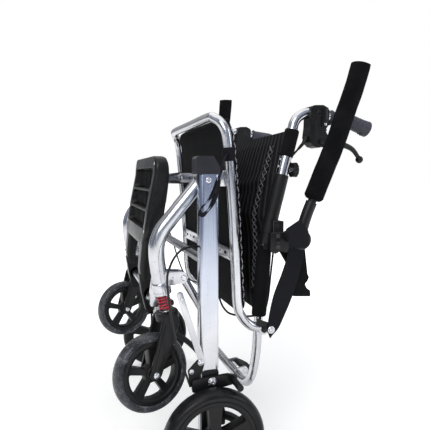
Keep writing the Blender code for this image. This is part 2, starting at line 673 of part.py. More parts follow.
def back():
    half = [(U_X, u_line(0.462), 0.462), (U_X, u_line(0.437), 0.437), (U_X, u_line(0.36), 0.36),
            (U_X, u_line(0.270), 0.270), (U_X, u_line(0.215), 0.215), (U_X, 0.1240, 0.170),
            (U_X - 0.004, 0.1190, 0.150), (U_X - 0.016, 0.1150, 0.136), (U_X - 0.040, 0.1135, 0.1303),
            (U_X - 0.070, 0.1130, 0.1295)]
    loop = half + [(-x, y, z) for x, y, z in reversed(half)]
    parts = [tube([Vector(p) for p in loop], U_R, 10)]
    cuts = []
    by, bz = SEAT_B
    for side in (1, -1):
        upper = [(side * BACK_X, back_line(z), z) for z in (0.4560, 0.6950)]
        parts.append(tube(upper, BACK_R, 12))
        cuts.append(tube([(side * BACK_X, back_line(z), z) for z in (0.5050, 0.7100)], HANDLE_BORE, 10))
        parts.append(elbow(side, 0.0095))
        a, b = sorted((side * U_X, side * 0.2225))
        parts.append(pin(by, bz, 0.005, a, b))
        a, b = sorted((side * 0.2202, side * 0.2232))
        parts.append(pin(by, bz, 0.0065, a, b, 10))
    for x in (0.052, 0.108):
        ear = [(0.108, 0.118), (0.108, 0.142), (0.136, 0.145), (0.142, 0.138), (0.142, 0.128), (0.130, 0.118)]
        parts.append(prism(rounded(ear, 0.004, 2), "x", x, x + 0.004))
    parts.append(pin(0.1340, 0.1365, 0.0030, 0.0535, 0.1105))
    solid("back_frame", parts, cuts, origin=(0, *SEAT_B), look="satin alloy")

    lower = [(z, u_line(z)) for z in (0.300, 0.36, 0.437)]
    stations = [(z, y - 0.0022, y + 0.0022, 0.1780) for z, y in lower]
    stations += [(0.452, 0.1462, 0.1505, 0.1740), (0.478, 0.1450, 0.1500, 0.1740)]
    for z, w in ((0.510, 0.1960), (0.560, 0.2000), (0.610, 0.2010), (0.640, 0.2030), (0.689, 0.2060)):
        sag = 0.004
        stations.append((z, back_line(z) - sag - 0.0022, back_line(z) - sag + 0.0030, w))
    parts = [sheet_solid(stations)]
    cuts = []
    for side in (1, -1):
        low = [(side * U_X, y, z) for z, y in lower]
        parts.append(tube(low, 0.0134, 10))
        high = [(side * BACK_X, back_line(z), z) for z in (0.6400, 0.6925)]
        parts.append(tube(high, 0.0178, 10))
        cuts.append(tube([(side * U_X, u_line(z), z) for z in (0.290, 0.36, 0.437, 0.45)],
                         U_R + 0.0006, 10))
        cuts.append(tube([(side * BACK_X, back_line(z), z) for z in (0.62, 0.71)], BACK_R + 0.0004, 12))
    solid("backrest", parts, cuts, origin=(0, *SEAT_B), look="cloth")


def arm_hubs():
    """The black tube round the silver back tube, with the armrest's hub and its outer cover plate."""
    ay, az = ARM_P
    path = [(BACK_X, back_line(z), z) for z in (0.4780, 0.5995)]
    bore = [(BACK_X, back_line(z), z) for z in (0.4400, 0.6150)]
    hub = [(0.1374, 0.4423), (0.1380, 0.4811), (0.1434, 0.4819), (0.1420, 0.5077), (0.1670, 0.5039),
           (0.1690, 0.4880), (0.1800, 0.4820), (0.1860, 0.4700), (0.1757, 0.4373), (0.1602, 0.4412),
           (0.1494, 0.4357)]
    tail = [(0.1650, 0.4700), (0.1900, 0.4760), (0.2200, 0.4680), (0.2327, 0.4415), (0.2409, 0.3815),
            (0.2446, 0.3748), (0.2342, 0.3605), (0.2476, 0.3444), (0.2491, 0.3313), (0.2065, 0.3348),
            (0.1980, 0.3600), (0.1900, 0.4100), (0.1650, 0.4500)]
    cover = [(0.1350, 0.4958), (0.1648, 0.5133), (0.1839, 0.4904), (0.1850, 0.4640), (0.1782, 0.4588),
             (0.1422, 0.4605), (0.1429, 0.4827)]
    pair("arm_hub", [
        tube(path, 0.0150, 12),
        prism(rounded(hub, 0.002, 1), "x", 0.2040, 0.2405),
        prism(rounded(tail, 0.002, 1), "x", 0.2045, 0.2125),
        prism(rounded(cover, 0.002, 1), "x", 0.3114, 0.3140),
        pin(ay, az, 0.0120, 0.2390, 0.2700, 12),
        pin(ay, az, 0.0055, 0.2600, 0.3090, 8),
        pin(ay, az, 0.0095, 0.3079, 0.3118, 10),
    ], [tube(bore, BACK_R + GAP, 12), elbow(1, 0.0100, 0.0008)], origin=(BACK_X, back_line(0.54), 0.54),
        look="black plastic")


def armrests():
    """The swing-up armrests; the right one stands a little further forward."""
    ay, az = ARM_P
    x = ARM_X
    upper = [(0.2217, 0.5989), (0.2496, 0.6628), (0.2693, 0.7175), (0.2889, 0.7690)]
    core = smooth(yz(x, [(ay, az), (0.1935, 0.5310)] + upper + [(0.3006, 0.8051)]), 1)
    arm = smooth(yz(x, [(ay + 0.001, az + 0.004), (0.1805, 0.4970), (0.1890, 0.5225), (0.1988, 0.5455)]), 1)
    made = solid("armrest_l", [
        tube(core, 0.0085, 8),
        tube(arm, 0.0115, 10, flat=0.92),
        pin(ay, az, 0.0190, 0.2836, 0.3075, 14),
    ], [pin(ay, az, 0.0061, 0.27, 0.32, 10)], origin=(x, ay, az), look="black plastic")
    far_copy(made, FAR_ARM_TURN)
    path = yz(x, [(0.2009, 0.5504), (0.2042, 0.5582)] + upper + [(0.3018, 0.8102), (0.3037, 0.8177)])
    thick = [FOAM_R * 0.90] + [FOAM_R] * 6 + [FOAM_R * 0.82]
    bore = core[:-1] + [core[-1] + (core[-1] - core[-2]).normalized() * 0.0006]
    made = solid("arm_foam_l", [tube(path, thick, 10)], [tube(bore, 0.0094, 8)],
                 origin=(x, ay, az), look="foam")
    far_copy(made, FAR_ARM_TURN)


# Handles and brakes
HANDLE = [(0.1947, 0.6908), (0.1990, 0.7075), (0.2080, 0.7200), (0.2240, 0.7285), (0.2420, 0.7300),
          (0.2600, 0.7275), (0.2875, 0.7214), (0.3378, 0.7146), (0.3508, 0.7101), (0.3760, 0.7014)]


def handles():
    start = [(back_line(z), z) for z in (0.5200, 0.6300)]
    route = yz(BACK_X, start + HANDLE)
    origin = (BACK_X, back_line(0.6300), 0.6300)
    pair("handle", [tube(route, HANDLE_R, 10)], origin=origin, look="satin alloy")
    grip = yz(BACK_X, [(0.2820, 0.7226), (0.2875, 0.7214), (0.3130, 0.7179), (0.3378, 0.7146),
                       (0.3508, 0.7101), (0.3720, 0.7028), (0.3850, 0.6983)])
    thick = [0.0168, 0.0150, 0.0155, 0.0162, 0.0168, 0.0176, 0.0160]
    bore = yz(BACK_X, [(0.2700, 0.7253), (0.2875, 0.7214), (0.3378, 0.7146), (0.3508, 0.7101),
                       (0.3767, 0.70115)])
    pair("grip", [tube(grip, thick, 10)], [tube(bore, HANDLE_R + 0.0006, 10)], origin=origin, look="grip")
    body = [(0.2315, 0.7420), (0.2300, 0.7230), (0.2295, 0.7000), (0.2270, 0.6800), (0.2290, 0.6680),
            (0.2390, 0.6590), (0.2500, 0.6565), (0.2620, 0.6590), (0.2740, 0.6720), (0.2735, 0.6800),
            (0.2660, 0.6940), (0.2740, 0.7060), (0.2745, 0.7390), (0.2600, 0.7460), (0.2400, 0.7450)]
    spread = yz(BACK_X, [(0.2080, 0.7200), (0.2240, 0.7285), (0.2420, 0.7300), (0.2600, 0.7275),
                         (0.2875, 0.7214)])
    side = 0.0150
    pair("brake_housing", [prism(rounded(body, 0.006, 1), "x", BACK_X - side, BACK_X + side, 0.002),
                           turned([(0.0050, -0.010), (0.0042, 0.009)], (BACK_X, 0.2275, 0.6735),
                                  (0, -0.62, -0.78), 8),
                           pin(*LEVER_P, 0.0028, BACK_X - side - 0.0036, BACK_X + side + 0.0036)],
         [tube(spread, HANDLE_R + 0.0006, 10)], origin=origin, look="black plastic")
    bridge = (0.2830, 0.6660)
    lever = smooth(yz(BACK_X, [bridge, (0.3030, 0.6668), (0.3244, 0.6635), (0.3440, 0.6550),
                               (0.3590, 0.6385)]), 1)
    cheeks = []
    for sign in (-1, 1):
        a, b = sorted((BACK_X + sign * (side + GAP), BACK_X + sign * (side + 0.0030)))
        cheeks.append(prism(link2(LEVER_P, bridge, 0.0058, 0.0068, 4), "x", a, b))
    pair("brake_lever", [
        tube(lever, [0.0075, 0.0070, 0.0064, 0.0054, 0.0046], 8),
        pin(*bridge, 0.0066, BACK_X - side - 0.0020, BACK_X + side + 0.0020, 8),
        turned([(0.0040, -0.0088), (0.0082, -0.0040), (0.0082, 0.0040), (0.0040, 0.0085)],
               (BACK_X, 0.3618, 0.6335), (0, 0.2, -1), 8),
    ] + cheeks, [pin(*LEVER_P, 0.0032, BACK_X - 0.03, BACK_X + 0.03)],
        origin=(BACK_X, *LEVER_P), look="black plastic")
    knob_y, knob_z = back_line(0.6100) + BACK_R, 0.6100
    lobes = []
    for k in range(18):
        a = 2 * math.pi * k / 18
        r = 0.0152 + 0.0017 * math.cos(6 * a)
        lobes.append((BACK_X + r * math.cos(a), knob_z + r * math.sin(a)))
    pair("star_knob", [prism(lobes, "y", knob_y + 0.0070, knob_y + 0.0180),
                       turned([(0.0065, 0.0022), (0.0065, 0.0085)], (BACK_X, knob_y, knob_z), (0, 1, 0), 10)],
         origin=(BACK_X, knob_y, knob_z), look="black plastic")


def brakes():
    """The arm on the lower leg bolt, its pad over the tyre and its pull bar, and the cable to it."""
    arm = [(-0.0420, 0.1860), (-0.0420, 0.2115), (0.0300, 0.2145), (0.0480, 0.2100), (0.0500, 0.1940),
           (0.0200, 0.1900)]
    link = [(-0.0490, 0.2290), (-0.0440, 0.1960), (-0.0320, 0.1960), (-0.0170, 0.2350), (-0.0180, 0.2490),
            (-0.0300, 0.2480)]
    pad_y, pad_z = WHEEL_C[1] + 0.112 * 0.420, WHEEL_C[2] + 0.112 * 0.9075
    pair("brake_arm", [
        prism(rounded(arm, 0.005, 1), "x", 0.2795, 0.2858),
        prism(rounded(link, 0.005, 1), "x", 0.2772, 0.2803),
        prism(link2((-0.0630, 0.3760), (-0.0200, 0.2410), 0.0062, 0.0062, 4), "x", 0.2772, 0.2800),
        pin(pad_y, pad_z, 0.0065, 0.2800, 0.3250, 10),
        pin(-0.0236, 0.2426, 0.0045, 0.2790, 0.2835, 6),
        pin(-0.0426, 0.2280, 0.0045, 0.2790, 0.2835, 6),
    ], [pin(*BRAKE_P, 0.0050, 0.26, 0.30, 10)], origin=(0.2815, *BRAKE_P), look="black plastic")
    route = smooth([(0.2180, 0.2209, 0.6652), (0.2050, 0.2075, 0.6450), (0.1955, 0.1960, 0.6280),
                    (0.1940, 0.1860, 0.6000), (0.1940, 0.1760, 0.5600), (0.1930, 0.1670, 0.5000),
                    (0.1900, 0.1690, 0.4500), (0.1860, 0.1640, 0.3800), (0.1830, 0.1590, 0.3250),
                    (0.1740, 0.1540, 0.2960), (0.1680, 0.1370, 0.2860), (0.1660, 0.1150, 0.2850),
                    (0.1660, 0.0900, 0.2900), (0.1680, 0.0690, 0.3000), (0.1740, 0.0520, 0.3250),
                    (0.1880, 0.0380, 0.3700), (0.2060, 0.0270, 0.4200), (0.2220, 0.0140, 0.4480),
                    (0.2335, -0.0020, 0.4570), (0.2450, -0.0340, 0.4600), (0.2660, -0.0600, 0.4560),
                    (0.2815, -0.0810, 0.4340), (0.2850, -0.0880, 0.3950), (0.2850, -0.0720, 0.2850),
                    (0.2826, -0.0450, 0.1988)], 1)
    pair("brake_cable", [coil_tube(route, 0.0022, 1)], origin=(0.2335, -0.0020, 0.4570), look="rubber")


# Webbing and the fold lever
def webbing():
    belt = [(0.1855, 0.4560), (0.1990, 0.4700), (0.2200, 0.4690), (0.2290, 0.4560), (0.2273, 0.4432),
            (0.2157, 0.3810), (0.2014, 0.3378), (0.1725, 0.2791), (0.1580, 0.2560), (0.1480, 0.2510),
            (0.1428, 0.2620), (0.1430, 0.2850), (0.1514, 0.3419), (0.1699, 0.3841), (0.1852, 0.4246)]
    pair("strap", [prism(rounded(belt, 0.002, 1), "x", 0.2204, 0.2222)],
         [pin(*STRAP_BOLT, 0.0046, 0.20, 0.24)], origin=(0.2213, *SEAT_B), look="cloth")
    collar = [(SEAT_X, seat_y(z), z) for z in (0.6300, 0.6376, 0.6520)]
    band = smooth([(0.2170, 0.0590, 0.6430), (0.2300, 0.0470, 0.6370), (0.2480, 0.0330, 0.6260),
                   (0.2680, 0.0270, 0.6130), (0.2805, 0.0190, 0.5950), (0.2818, 0.0080, 0.5740),
                   (0.2812, -0.0050, 0.5510), (0.2808, -0.0155, 0.5270)], 2)
    wide = [0.0065] * 5 + [0.0070] * 4 + [0.0080] * 3 + [0.0095] * 3
    solid("pull_strap", [tube(collar, SEAT_R + 0.0024, 12), tube(band, wide, 6, flat=0.2)],
          [tube([(SEAT_X, seat_y(z), z) for z in (0.6150, 0.6376, 0.6600)],
                SEAT_R + 0.0009, 12)], origin=(SEAT_X, seat_y(0.64), 0.64), look="cloth")
    pedal = [(0.1310, 0.1300), (0.1560, 0.1150), (0.1640, 0.1170), (0.1620, 0.1290), (0.1390, 0.1425)]
    solid("fold_lever", [
        prism(rounded(pedal, 0.003, 2), "x", 0.0570, 0.1070),
        pin(0.1340, 0.1365, 0.0062, 0.0570, 0.1070, 10),
    ], [pin(0.1340, 0.1365, 0.0034, 0.05, 0.12)], origin=(0.082, 0.1340, 0.1365), look="black plastic")


rear_frame()
rear_wheels()
castors()
front_frame()
struts()
footplate()
seat()
back()
arm_hubs()
armrests()
handles()
brakes()
webbing()
for part in bpy.data.objects:
    part.location.y -= MID_Y
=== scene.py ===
"""The looks of the folded transport chair: finer pieces and materials around its frame.

Metres, with +Z up, -Y to the chair's front and +X to its left, the side that the camera sees. Shapes are
made with Y counted from the rear legs, and every piece moves by MID_Y when it is placed.
"""
import json
import math

import bmesh
import bpy
from mathutils import Matrix, Vector, noise

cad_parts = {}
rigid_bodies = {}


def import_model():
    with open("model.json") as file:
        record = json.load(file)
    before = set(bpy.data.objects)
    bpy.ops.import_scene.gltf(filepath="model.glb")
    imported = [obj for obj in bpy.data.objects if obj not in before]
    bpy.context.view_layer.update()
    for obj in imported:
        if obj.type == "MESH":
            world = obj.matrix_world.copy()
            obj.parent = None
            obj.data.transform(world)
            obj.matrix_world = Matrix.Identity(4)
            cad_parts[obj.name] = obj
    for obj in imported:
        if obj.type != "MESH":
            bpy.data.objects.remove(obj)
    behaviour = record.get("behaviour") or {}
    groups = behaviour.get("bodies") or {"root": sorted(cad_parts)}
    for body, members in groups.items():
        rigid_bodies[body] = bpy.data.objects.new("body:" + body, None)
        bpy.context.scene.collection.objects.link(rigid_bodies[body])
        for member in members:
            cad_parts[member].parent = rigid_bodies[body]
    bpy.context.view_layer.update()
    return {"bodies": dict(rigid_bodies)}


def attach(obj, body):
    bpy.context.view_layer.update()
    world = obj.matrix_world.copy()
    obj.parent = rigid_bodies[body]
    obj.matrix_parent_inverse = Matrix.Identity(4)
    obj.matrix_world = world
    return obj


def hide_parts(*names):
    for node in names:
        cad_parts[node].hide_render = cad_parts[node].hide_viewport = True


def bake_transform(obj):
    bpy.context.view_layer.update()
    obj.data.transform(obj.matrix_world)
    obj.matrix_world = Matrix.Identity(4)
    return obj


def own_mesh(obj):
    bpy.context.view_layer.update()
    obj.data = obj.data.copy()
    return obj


# Places and sizes that the pieces share with the solids
MID_Y = 0.1008
PIVOT = (-0.006, 0.589)
WHEEL_C = (0.308, -0.006, 0.1)
FRONT_X, FRONT_R = 0.2253, 0.0155
STEM_TILT = math.radians(10.5)
STEM_REF = (-0.0882, 0.3848)
LATTICE_SWING = 0.012
CABLE_R = 0.0022
SPOKES = 5
RIB = 0.0215
CASTOR_TRAIL, CASTOR_TURN, CASTOR_BELOW = 0.057, math.radians(17.0), 0.1575
HINGE_F = (-0.092, 0.343)
STRUT_F, STRUT_M, STRUT_R = (-0.0457, 0.399), (0.009, 0.304), (-0.006, 0.409)
BRAKE_P, LEVER_P = (-0.0025, 0.204), (0.256, 0.67)
SEAT_X, SEAT_R, SEAT_B = 0.21, 0.01, (0.1345, 0.27)
STRAP_BOLT = (0.1495, 0.269)
U_X, U_R = 0.186, 0.01
BACK_X, BACK_R, HANDLE_R = 0.218, 0.01275, 0.01075
BACK_KINK, BACK_TOP = (0.1465, 0.5), (0.1945, 0.69)
ARM_X, ARM_P, FOAM_R = 0.2966, (0.1758, 0.4726), 0.0192
FAR_ARM_TURN = math.radians(12.5)

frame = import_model()


# Materials
class Nodes:
    """Adds nodes to a tree. An input goes by its name, or by an underscore and its index."""

    def __init__(self, tree):
        self.tree = tree

    def node(self, kind, settings=None, **inputs):
        made = self.tree.nodes.new(kind)
        for key, value in (settings or {}).items():
            setattr(made, key, value)
        for key, value in inputs.items():
            socket = made.inputs[int(key[1:]) if key[0] == "_" else key.replace("_", " ")]
            if isinstance(value, bpy.types.NodeSocket):
                self.tree.links.new(value, socket)
            else:
                socket.default_value = value
        return made

    def spread(self, value, low, high, out_low=0.0, out_high=1.0):
        return self.node("ShaderNodeMapRange", Value=value, From_Min=low, From_Max=high,
                         To_Min=out_low, To_Max=out_high).outputs["Result"]

    def math(self, operation, a, b=0.0):
        return self.node("ShaderNodeMath", {"operation": operation}, _0=a, _1=b).outputs[0]

    def times(self, a, b):
        return self.math("MULTIPLY", a, b)

    def plus(self, a, b):
        return self.math("ADD", a, b)

    def mix(self, factor, a, b, blend="MIX"):
        settings = {"data_type": "RGBA", "blend_type": blend}
        return self.node("ShaderNodeMix", settings, _0=factor, _6=a, _7=b).outputs[2]

    def ramp(self, factor, stops):
        """Colours at their positions; the factor runs along them."""
        made = self.node("ShaderNodeValToRGB", Fac=factor)
        elements = made.color_ramp.elements
        while len(elements) < len(stops):
            elements.new(0.5)
        for element, (position, tone) in zip(elements, stops):
            element.position = position
            element.color = rgba(*tone)
        return made.outputs["Color"]


class Look(Nodes):
    """A Principled material whose colour, roughness and bump come from nodes in object coordinates."""

    def __init__(self, name, **sockets):
        self.mat = bpy.data.materials.new(name)
        self.mat.use_nodes = True
        super().__init__(self.mat.node_tree)
        self.shader = self.tree.nodes["Principled BSDF"]
        for key, value in sockets.items():
            self.shader.inputs[key.replace("_", " ")].default_value = value
        self.coords = self.node("ShaderNodeTexCoord").outputs["Object"]

    def scaled(self, scale, turn=(0, 0, 0)):
        return self.node("ShaderNodeMapping", Vector=self.coords, Scale=scale,
                         Rotation=turn).outputs["Vector"]

    def noise(self, scale, detail=3.0, stretch=(1, 1, 1)):
        return self.node("ShaderNodeTexNoise", Vector=self.scaled(stretch), Scale=scale,
                         Detail=detail).outputs["Fac"]

    def wave(self, scale, turn=(0, 0, 0), direction="X"):
        made = self.node("ShaderNodeTexWave", {"bands_direction": direction, "wave_profile": "SIN"},
                         Vector=self.scaled((1, 1, 1), turn), Scale=scale, Distortion=0.0, Detail=1.0,
                         Detail_Scale=2.0)
        return made.outputs["Fac"]

    def colour(self, socket):
        self.tree.links.new(socket, self.shader.inputs["Base Color"])

    def rough(self, socket):
        self.tree.links.new(socket, self.shader.inputs["Roughness"])

    def bump(self, height, strength, distance=0.0004):
        made = self.node("ShaderNodeBump", Height=height, Strength=strength, Distance=distance)
        self.tree.links.new(made.outputs["Normal"], self.shader.inputs["Normal"])


def rgba(r, g, b):
    return (r, g, b, 1.0)


def tinted(tone, r, g, b):
    return (tone * r, tone * g, tone * b, 1.0)


def alloy(name, stretch, tone=0.6, low=0.13, high=0.26, cool=None):
    """Polished aluminium, streaked and handled; cool paints a bluish reflection into the colour between two
    heights.
    """
    look = Look(name, Metallic=1.0)
    streak = look.noise(420.0, 4.0, stretch)
    cloud = look.noise(14.0, 4.0)
    marks = look.noise(160.0, 6.0)
    dull = look.spread(marks, 0.6, 0.78)
    base = look.mix(look.spread(cloud, 0.35, 0.65), tinted(tone, 1, 1.01, 1.05),
                    tinted(tone, 0.86, 0.875, 0.93))
    base = look.mix(look.times(dull, 0.35), base, tinted(tone, 0.62, 0.61, 0.59))
    # Painted reflection: the colour turns bluer from the lower height to the upper one
    if cool:
        height = look.node("ShaderNodeSeparateXYZ", _0=look.coords).outputs["Z"]
        base = look.mix(look.spread(height, cool[0], cool[1]), base, rgba(*cool[2]))
    look.colour(base)
    rough = look.spread(streak, 0.3, 0.7, low, high)
    rough = look.plus(rough, look.times(dull, 0.16))
    look.rough(rough)
    look.bump(streak, 0.1, 0.00012)
    return look.mat


def plastic(name, tone, low, high, grain=1500.0, strength=0.1, tint=1.08):
    """Moulded plastic: fine grain, cloudy gloss and paler scuffs."""
    look = Look(name, Specular_IOR_Level=0.26)
    scuff = look.spread(look.noise(60.0, 8.0, (1, 1, 0.35)), 0.63, 0.8)
    cloud = look.noise(22.0, 3.0)
    base = look.mix(look.spread(cloud, 0.3, 0.7), tinted(tone, 1, 1, tint), tinted(tone, 1.35, 1.36, 1.5))
    look.colour(look.mix(look.times(scuff, 0.45), base, tinted(tone, 3.2, 3.2, 3.3)))
    look.rough(look.plus(look.spread(cloud, 0.3, 0.7, low, high), look.times(scuff, 0.12)))
    look.bump(look.noise(grain, 2.0), strength, 0.00015)
    return look.mat


def foam():
    """Closed-cell armrest foam: pores, a dry surface and faint rubbed patches."""
    look = Look("foam_black", Specular_IOR_Level=0.05)
    pores = look.node("ShaderNodeTexVoronoi", Vector=look.coords, Scale=900.0).outputs["Distance"]
    rubbed = look.noise(26.0, 4.0)
    look.colour(look.mix(look.spread(rubbed, 0.42, 0.72), rgba(0.005, 0.005, 0.006),
                         rgba(0.0105, 0.0105, 0.012)))
    look.rough(look.spread(rubbed, 0.3, 0.7, 0.8, 0.95))
    look.bump(look.plus(pores, look.noise(2600.0, 2.0)), 0.55, 0.0003)
    return look.mat


def woven(name, tone, warp, weft, strength=0.5, turn=(0, 0, 0)):
    """Cloth with crossed threads; warp and weft are threads per metre times two pi."""
    look = Look(name, Specular_IOR_Level=0.06, Sheen_Weight=0.02, Sheen_Roughness=0.5)
    over = look.wave(warp, turn, "X")
    under = look.wave(weft, turn, "Z")
    cross = look.math("MAXIMUM", look.times(over, look.math("SUBTRACT", 1.0, under)),
                      look.times(under, look.math("SUBTRACT", 1.0, over)))
    worn = look.spread(look.noise(18.0, 5.0), 0.35, 0.75)
    base = look.mix(worn, tinted(tone, 1, 1, 1.12), tinted(tone, 1.9, 1.9, 2.1))
    look.colour(look.mix(look.times(cross, 0.5), base, tinted(tone, 2.6, 2.6, 2.9)))
    look.rough(look.spread(cross, 0.0, 1.0, 0.95, 0.72))
    look.bump(cross, strength, 0.0004)
    return look.mat


def webbing_look():
    """Flat woven strap: a twill that slants across the strap."""
    look = Look("webbing_black", Specular_IOR_Level=0.1, Sheen_Weight=0.02, Sheen_Roughness=0.4)
    twill = look.wave(260.0, (math.radians(52), 0, 0), "Z")
    cross = look.wave(210.0, (math.radians(-24), 0, 0), "Y")
    weave = look.times(twill, look.spread(cross, 0.0, 1.0, 0.6, 1.0))
    look.colour(look.mix(weave, rgba(0.006, 0.006, 0.008), rgba(0.02, 0.02, 0.026)))
    look.rough(look.spread(weave, 0.0, 1.0, 0.85, 0.6))
    look.bump(weave, 0.6, 0.0005)
    return look.mat


def rubber():
    """Rear tyre: satin black with dust in patches and fine mould lines round the wheel."""
    look = Look("tyre_black", Specular_IOR_Level=0.22)
    dust = look.spread(look.noise(35.0, 6.0), 0.52, 0.8)
    look.colour(look.mix(look.times(dust, 0.5), rgba(0.0075, 0.0075, 0.009), rgba(0.035, 0.034, 0.034)))
    look.rough(look.spread(dust, 0.0, 1.0, 0.3, 0.55))
    look.bump(look.plus(look.noise(700.0, 3.0), look.wave(190.0, (0, 0, 0), "X")), 0.16, 0.0003)
    return look.mat


def smoky():
    """Castor tyre: grey see-into plastic with pale specks, streaks of dust and darker depths."""
    look = Look("tyre_smoky", Coat_Weight=0.1, Coat_Roughness=0.18, Subsurface_Weight=0.06,
                Specular_IOR_Level=0.2)
    look.shader.inputs["Subsurface Radius"].default_value = (0.004, 0.004, 0.004)
    depth = look.spread(look.noise(38.0, 5.0), 0.36, 0.64)
    cells = look.node("ShaderNodeTexVoronoi", Vector=look.coords, Scale=330.0).outputs["Distance"]
    specks = look.spread(cells, 0.1, 0.26, 1.0, 0.0)
    streaks = look.spread(look.noise(90.0, 7.0, (0.5, 1, 1)), 0.57, 0.74)
    base = look.mix(depth, rgba(0.018, 0.019, 0.023), rgba(0.072, 0.075, 0.086))
    base = look.mix(look.times(specks, 0.34), base, rgba(0.5, 0.51, 0.54))
    look.colour(look.mix(look.times(streaks, 0.55), base, rgba(0.3, 0.3, 0.32)))
    look.rough(look.spread(streaks, 0.0, 1.0, 0.26, 0.52))
    look.bump(look.noise(420.0, 4.0), 0.2, 0.0003)
    return look.mat


def paint_red():
    look = Look("spring_red", Coat_Weight=0.35, Coat_Roughness=0.12)
    cloud = look.noise(220.0, 5.0)
    chips = look.spread(look.noise(520.0, 4.0), 0.68, 0.76)
    base = look.mix(look.spread(cloud, 0.3, 0.7), rgba(0.52, 0.004, 0.03), rgba(0.36, 0.003, 0.018))
    look.colour(look.mix(chips, base, rgba(0.16, 0.02, 0.03)))
    look.rough(look.spread(cloud, 0.3, 0.7, 0.28, 0.45))
    look.bump(look.noise(1500.0, 2.0), 0.1, 0.0001)
    return look.mat


def mesh_cloth():
    """Back cloth: knitted ribs with small open cells between them, and a painted highlight along the rib
    crests.
    """
    look = Look("cloth_mesh", Specular_IOR_Level=0.06, Sheen_Weight=0.02, Sheen_Roughness=0.45)
    cells = look.wave(330.0, (0, 0, 0), "Z")
    threads = look.wave(520.0, (0, 0, 0), "X")
    knit = look.times(cells, look.spread(threads, 0.0, 1.0, 0.55, 1.0))
    place_in = look.node("ShaderNodeSeparateXYZ", _0=look.coords).outputs
    lean = look.times(look.math("SUBTRACT", place_in["Z"], 0.5), 1.25)
    along = look.plus(place_in["X"], look.times(place_in["X"], lean))
    # Painted highlight: the colour turns lighter along each rib's crest
    ridge = look.math("COSINE", look.times(along, 2 * math.pi / RIB))
    ridge = look.spread(ridge, 0.1, 0.95)
    dim = look.mix(knit, rgba(0.0045, 0.0045, 0.006), rgba(0.012, 0.012, 0.015))
    look.colour(look.mix(look.times(ridge, look.spread(knit, 0.0, 1.0, 0.45, 1.0)), dim,
                         rgba(0.06, 0.06, 0.068)))
    look.rough(look.spread(knit, 0.0, 1.0, 0.9, 0.62))
    look.bump(knit, 0.7, 0.0006)
    return look.mat


ALLOY_Z = alloy("alloy_tube", (1, 1, 0.045))
ALLOY_X = alloy("alloy_bar", (0.045, 1, 1), 0.52, 0.2, 0.34)
ALLOY_EAR = alloy("alloy_ear", (1, 1, 0.03), 0.6, 0.14, 0.24)
# The rear legs get a painted blue reflection towards their tops
ALLOY_LEG = alloy("alloy_leg", (1, 1, 0.03), 0.66, 0.14, 0.24, (0.28, 0.5, (0.43, 0.48, 0.6)))
ZINC = alloy("zinc_bolt", (1, 1, 1), 0.72, 0.16, 0.3)
BLACK = plastic("plastic_black", 0.0075, 0.34, 0.5)
# Pale plastic for thin strips that are painted highlights along the arm mounts' edges
EDGE_HIGHLIGHT_PLASTIC = plastic("plastic_edge_highlight", 0.045, 0.34, 0.5)
CAP = plastic("plastic_cap", 0.021, 0.3, 0.42, 900.0, 0.12, 1.4)
SATIN = plastic("plastic_satin", 0.0085, 0.26, 0.38, 1100.0, 0.06)
TUBE_BLACK = plastic("tube_black", 0.006, 0.38, 0.52, 800.0, 0.14)
GREY_PLASTIC = plastic("plastic_grey", 0.16, 0.42, 0.56)
GRIP = plastic("grip_slate", 0.05, 0.44, 0.58, 900.0, 0.35, 1.5)
FOAM = foam()
CLOTH = woven("cloth_seat", 0.0058, 190.0, 190.0)
LINING = woven("cloth_lining", 0.0058, 300.0, 300.0, 0.35)
MESH = mesh_cloth()
SLEEVE = woven("cloth_sleeve", 0.0055, 260.0, 260.0, 0.35)
WEBBING = webbing_look()
TYRE = rubber()
SMOKY = smoky()
RED = paint_red()
CABLE = plastic("cable_black", 0.012, 0.3, 0.42)
THREAD = woven("thread_pale", 0.34, 900.0, 900.0, 0.4)
LATTICE = woven("thread_grey", 0.105, 900.0, 900.0, 0.4)
DARK_THREAD = woven("thread_dark", 0.02, 900.0, 900.0, 0.4)


# Shapes: each returns an object with one material, still at its place in the chair
def linked(name, data):
    made = bpy.data.objects.new(name, data)
    bpy.context.scene.collection.objects.link(made)
    return made


def shape(bm, look, name="shape"):
    bmesh.ops.recalc_face_normals(bm, faces=bm.faces)
    mesh = bpy.data.meshes.new(name)
    bm.to_mesh(mesh)
    bm.free()
    mesh.materials.append(look)
    return linked(name, mesh)


def skinned(bm, rows, ring=False, caps=True):
    """Faces between closed rows of points and over both ends; ring joins the last row to the first."""
    for low, high in list(zip(rows, rows[1:])) + ([(rows[-1], rows[0])] if ring else []):
        for k in range(len(low)):
            n = (k + 1) % len(low)
            bm.faces.new((low[k], low[n], high[n], high[k]))
    if caps and not ring:
        bm.faces.new(rows[0])
        bm.faces.new(rows[-1])


def closed_grids(bm, low, high):
    """Faces over a front and a back grid of points, and round their common rim."""
    along, across = len(low) - 1, len(low[0]) - 1
    for j in range(along):
        for i in range(across):
            bm.faces.new((low[j][i], low[j][i + 1], low[j + 1][i + 1], low[j + 1][i]))
            bm.faces.new((high[j][i], high[j + 1][i], high[j + 1][i + 1], high[j][i + 1]))
    for j in range(along):
        for i in (0, across):
            bm.faces.new((low[j][i], low[j + 1][i], high[j + 1][i], high[j][i]))
    for i in range(across):
        for j in (0, along):
            bm.faces.new((low[j][i], low[j][i + 1], high[j][i + 1], high[j][i]))


def baked(obj):
    """Applies the object's modifiers."""
    graph = bpy.context.evaluated_depsgraph_get()
    graph.update()
    mesh = bpy.data.meshes.new_from_object(obj.evaluated_get(graph))
    obj.modifiers.clear()
    obj.data = mesh
    return obj


def between(rows, at):
    """The rows' second value where their first is at, in straight lines."""
    for (a, low), (b, high) in zip(rows, rows[1:]):
        if at <= b:
            return low + (high - low) * (at - a) / (b - a)
    return rows[-1][1]


def mirrored(half):
    """A profile and its mirror image."""
    return half + [(radius, -along) for radius, along in reversed(half)]


def yz(x, points):
    return [Vector((x, y, z)) for y, z in points]


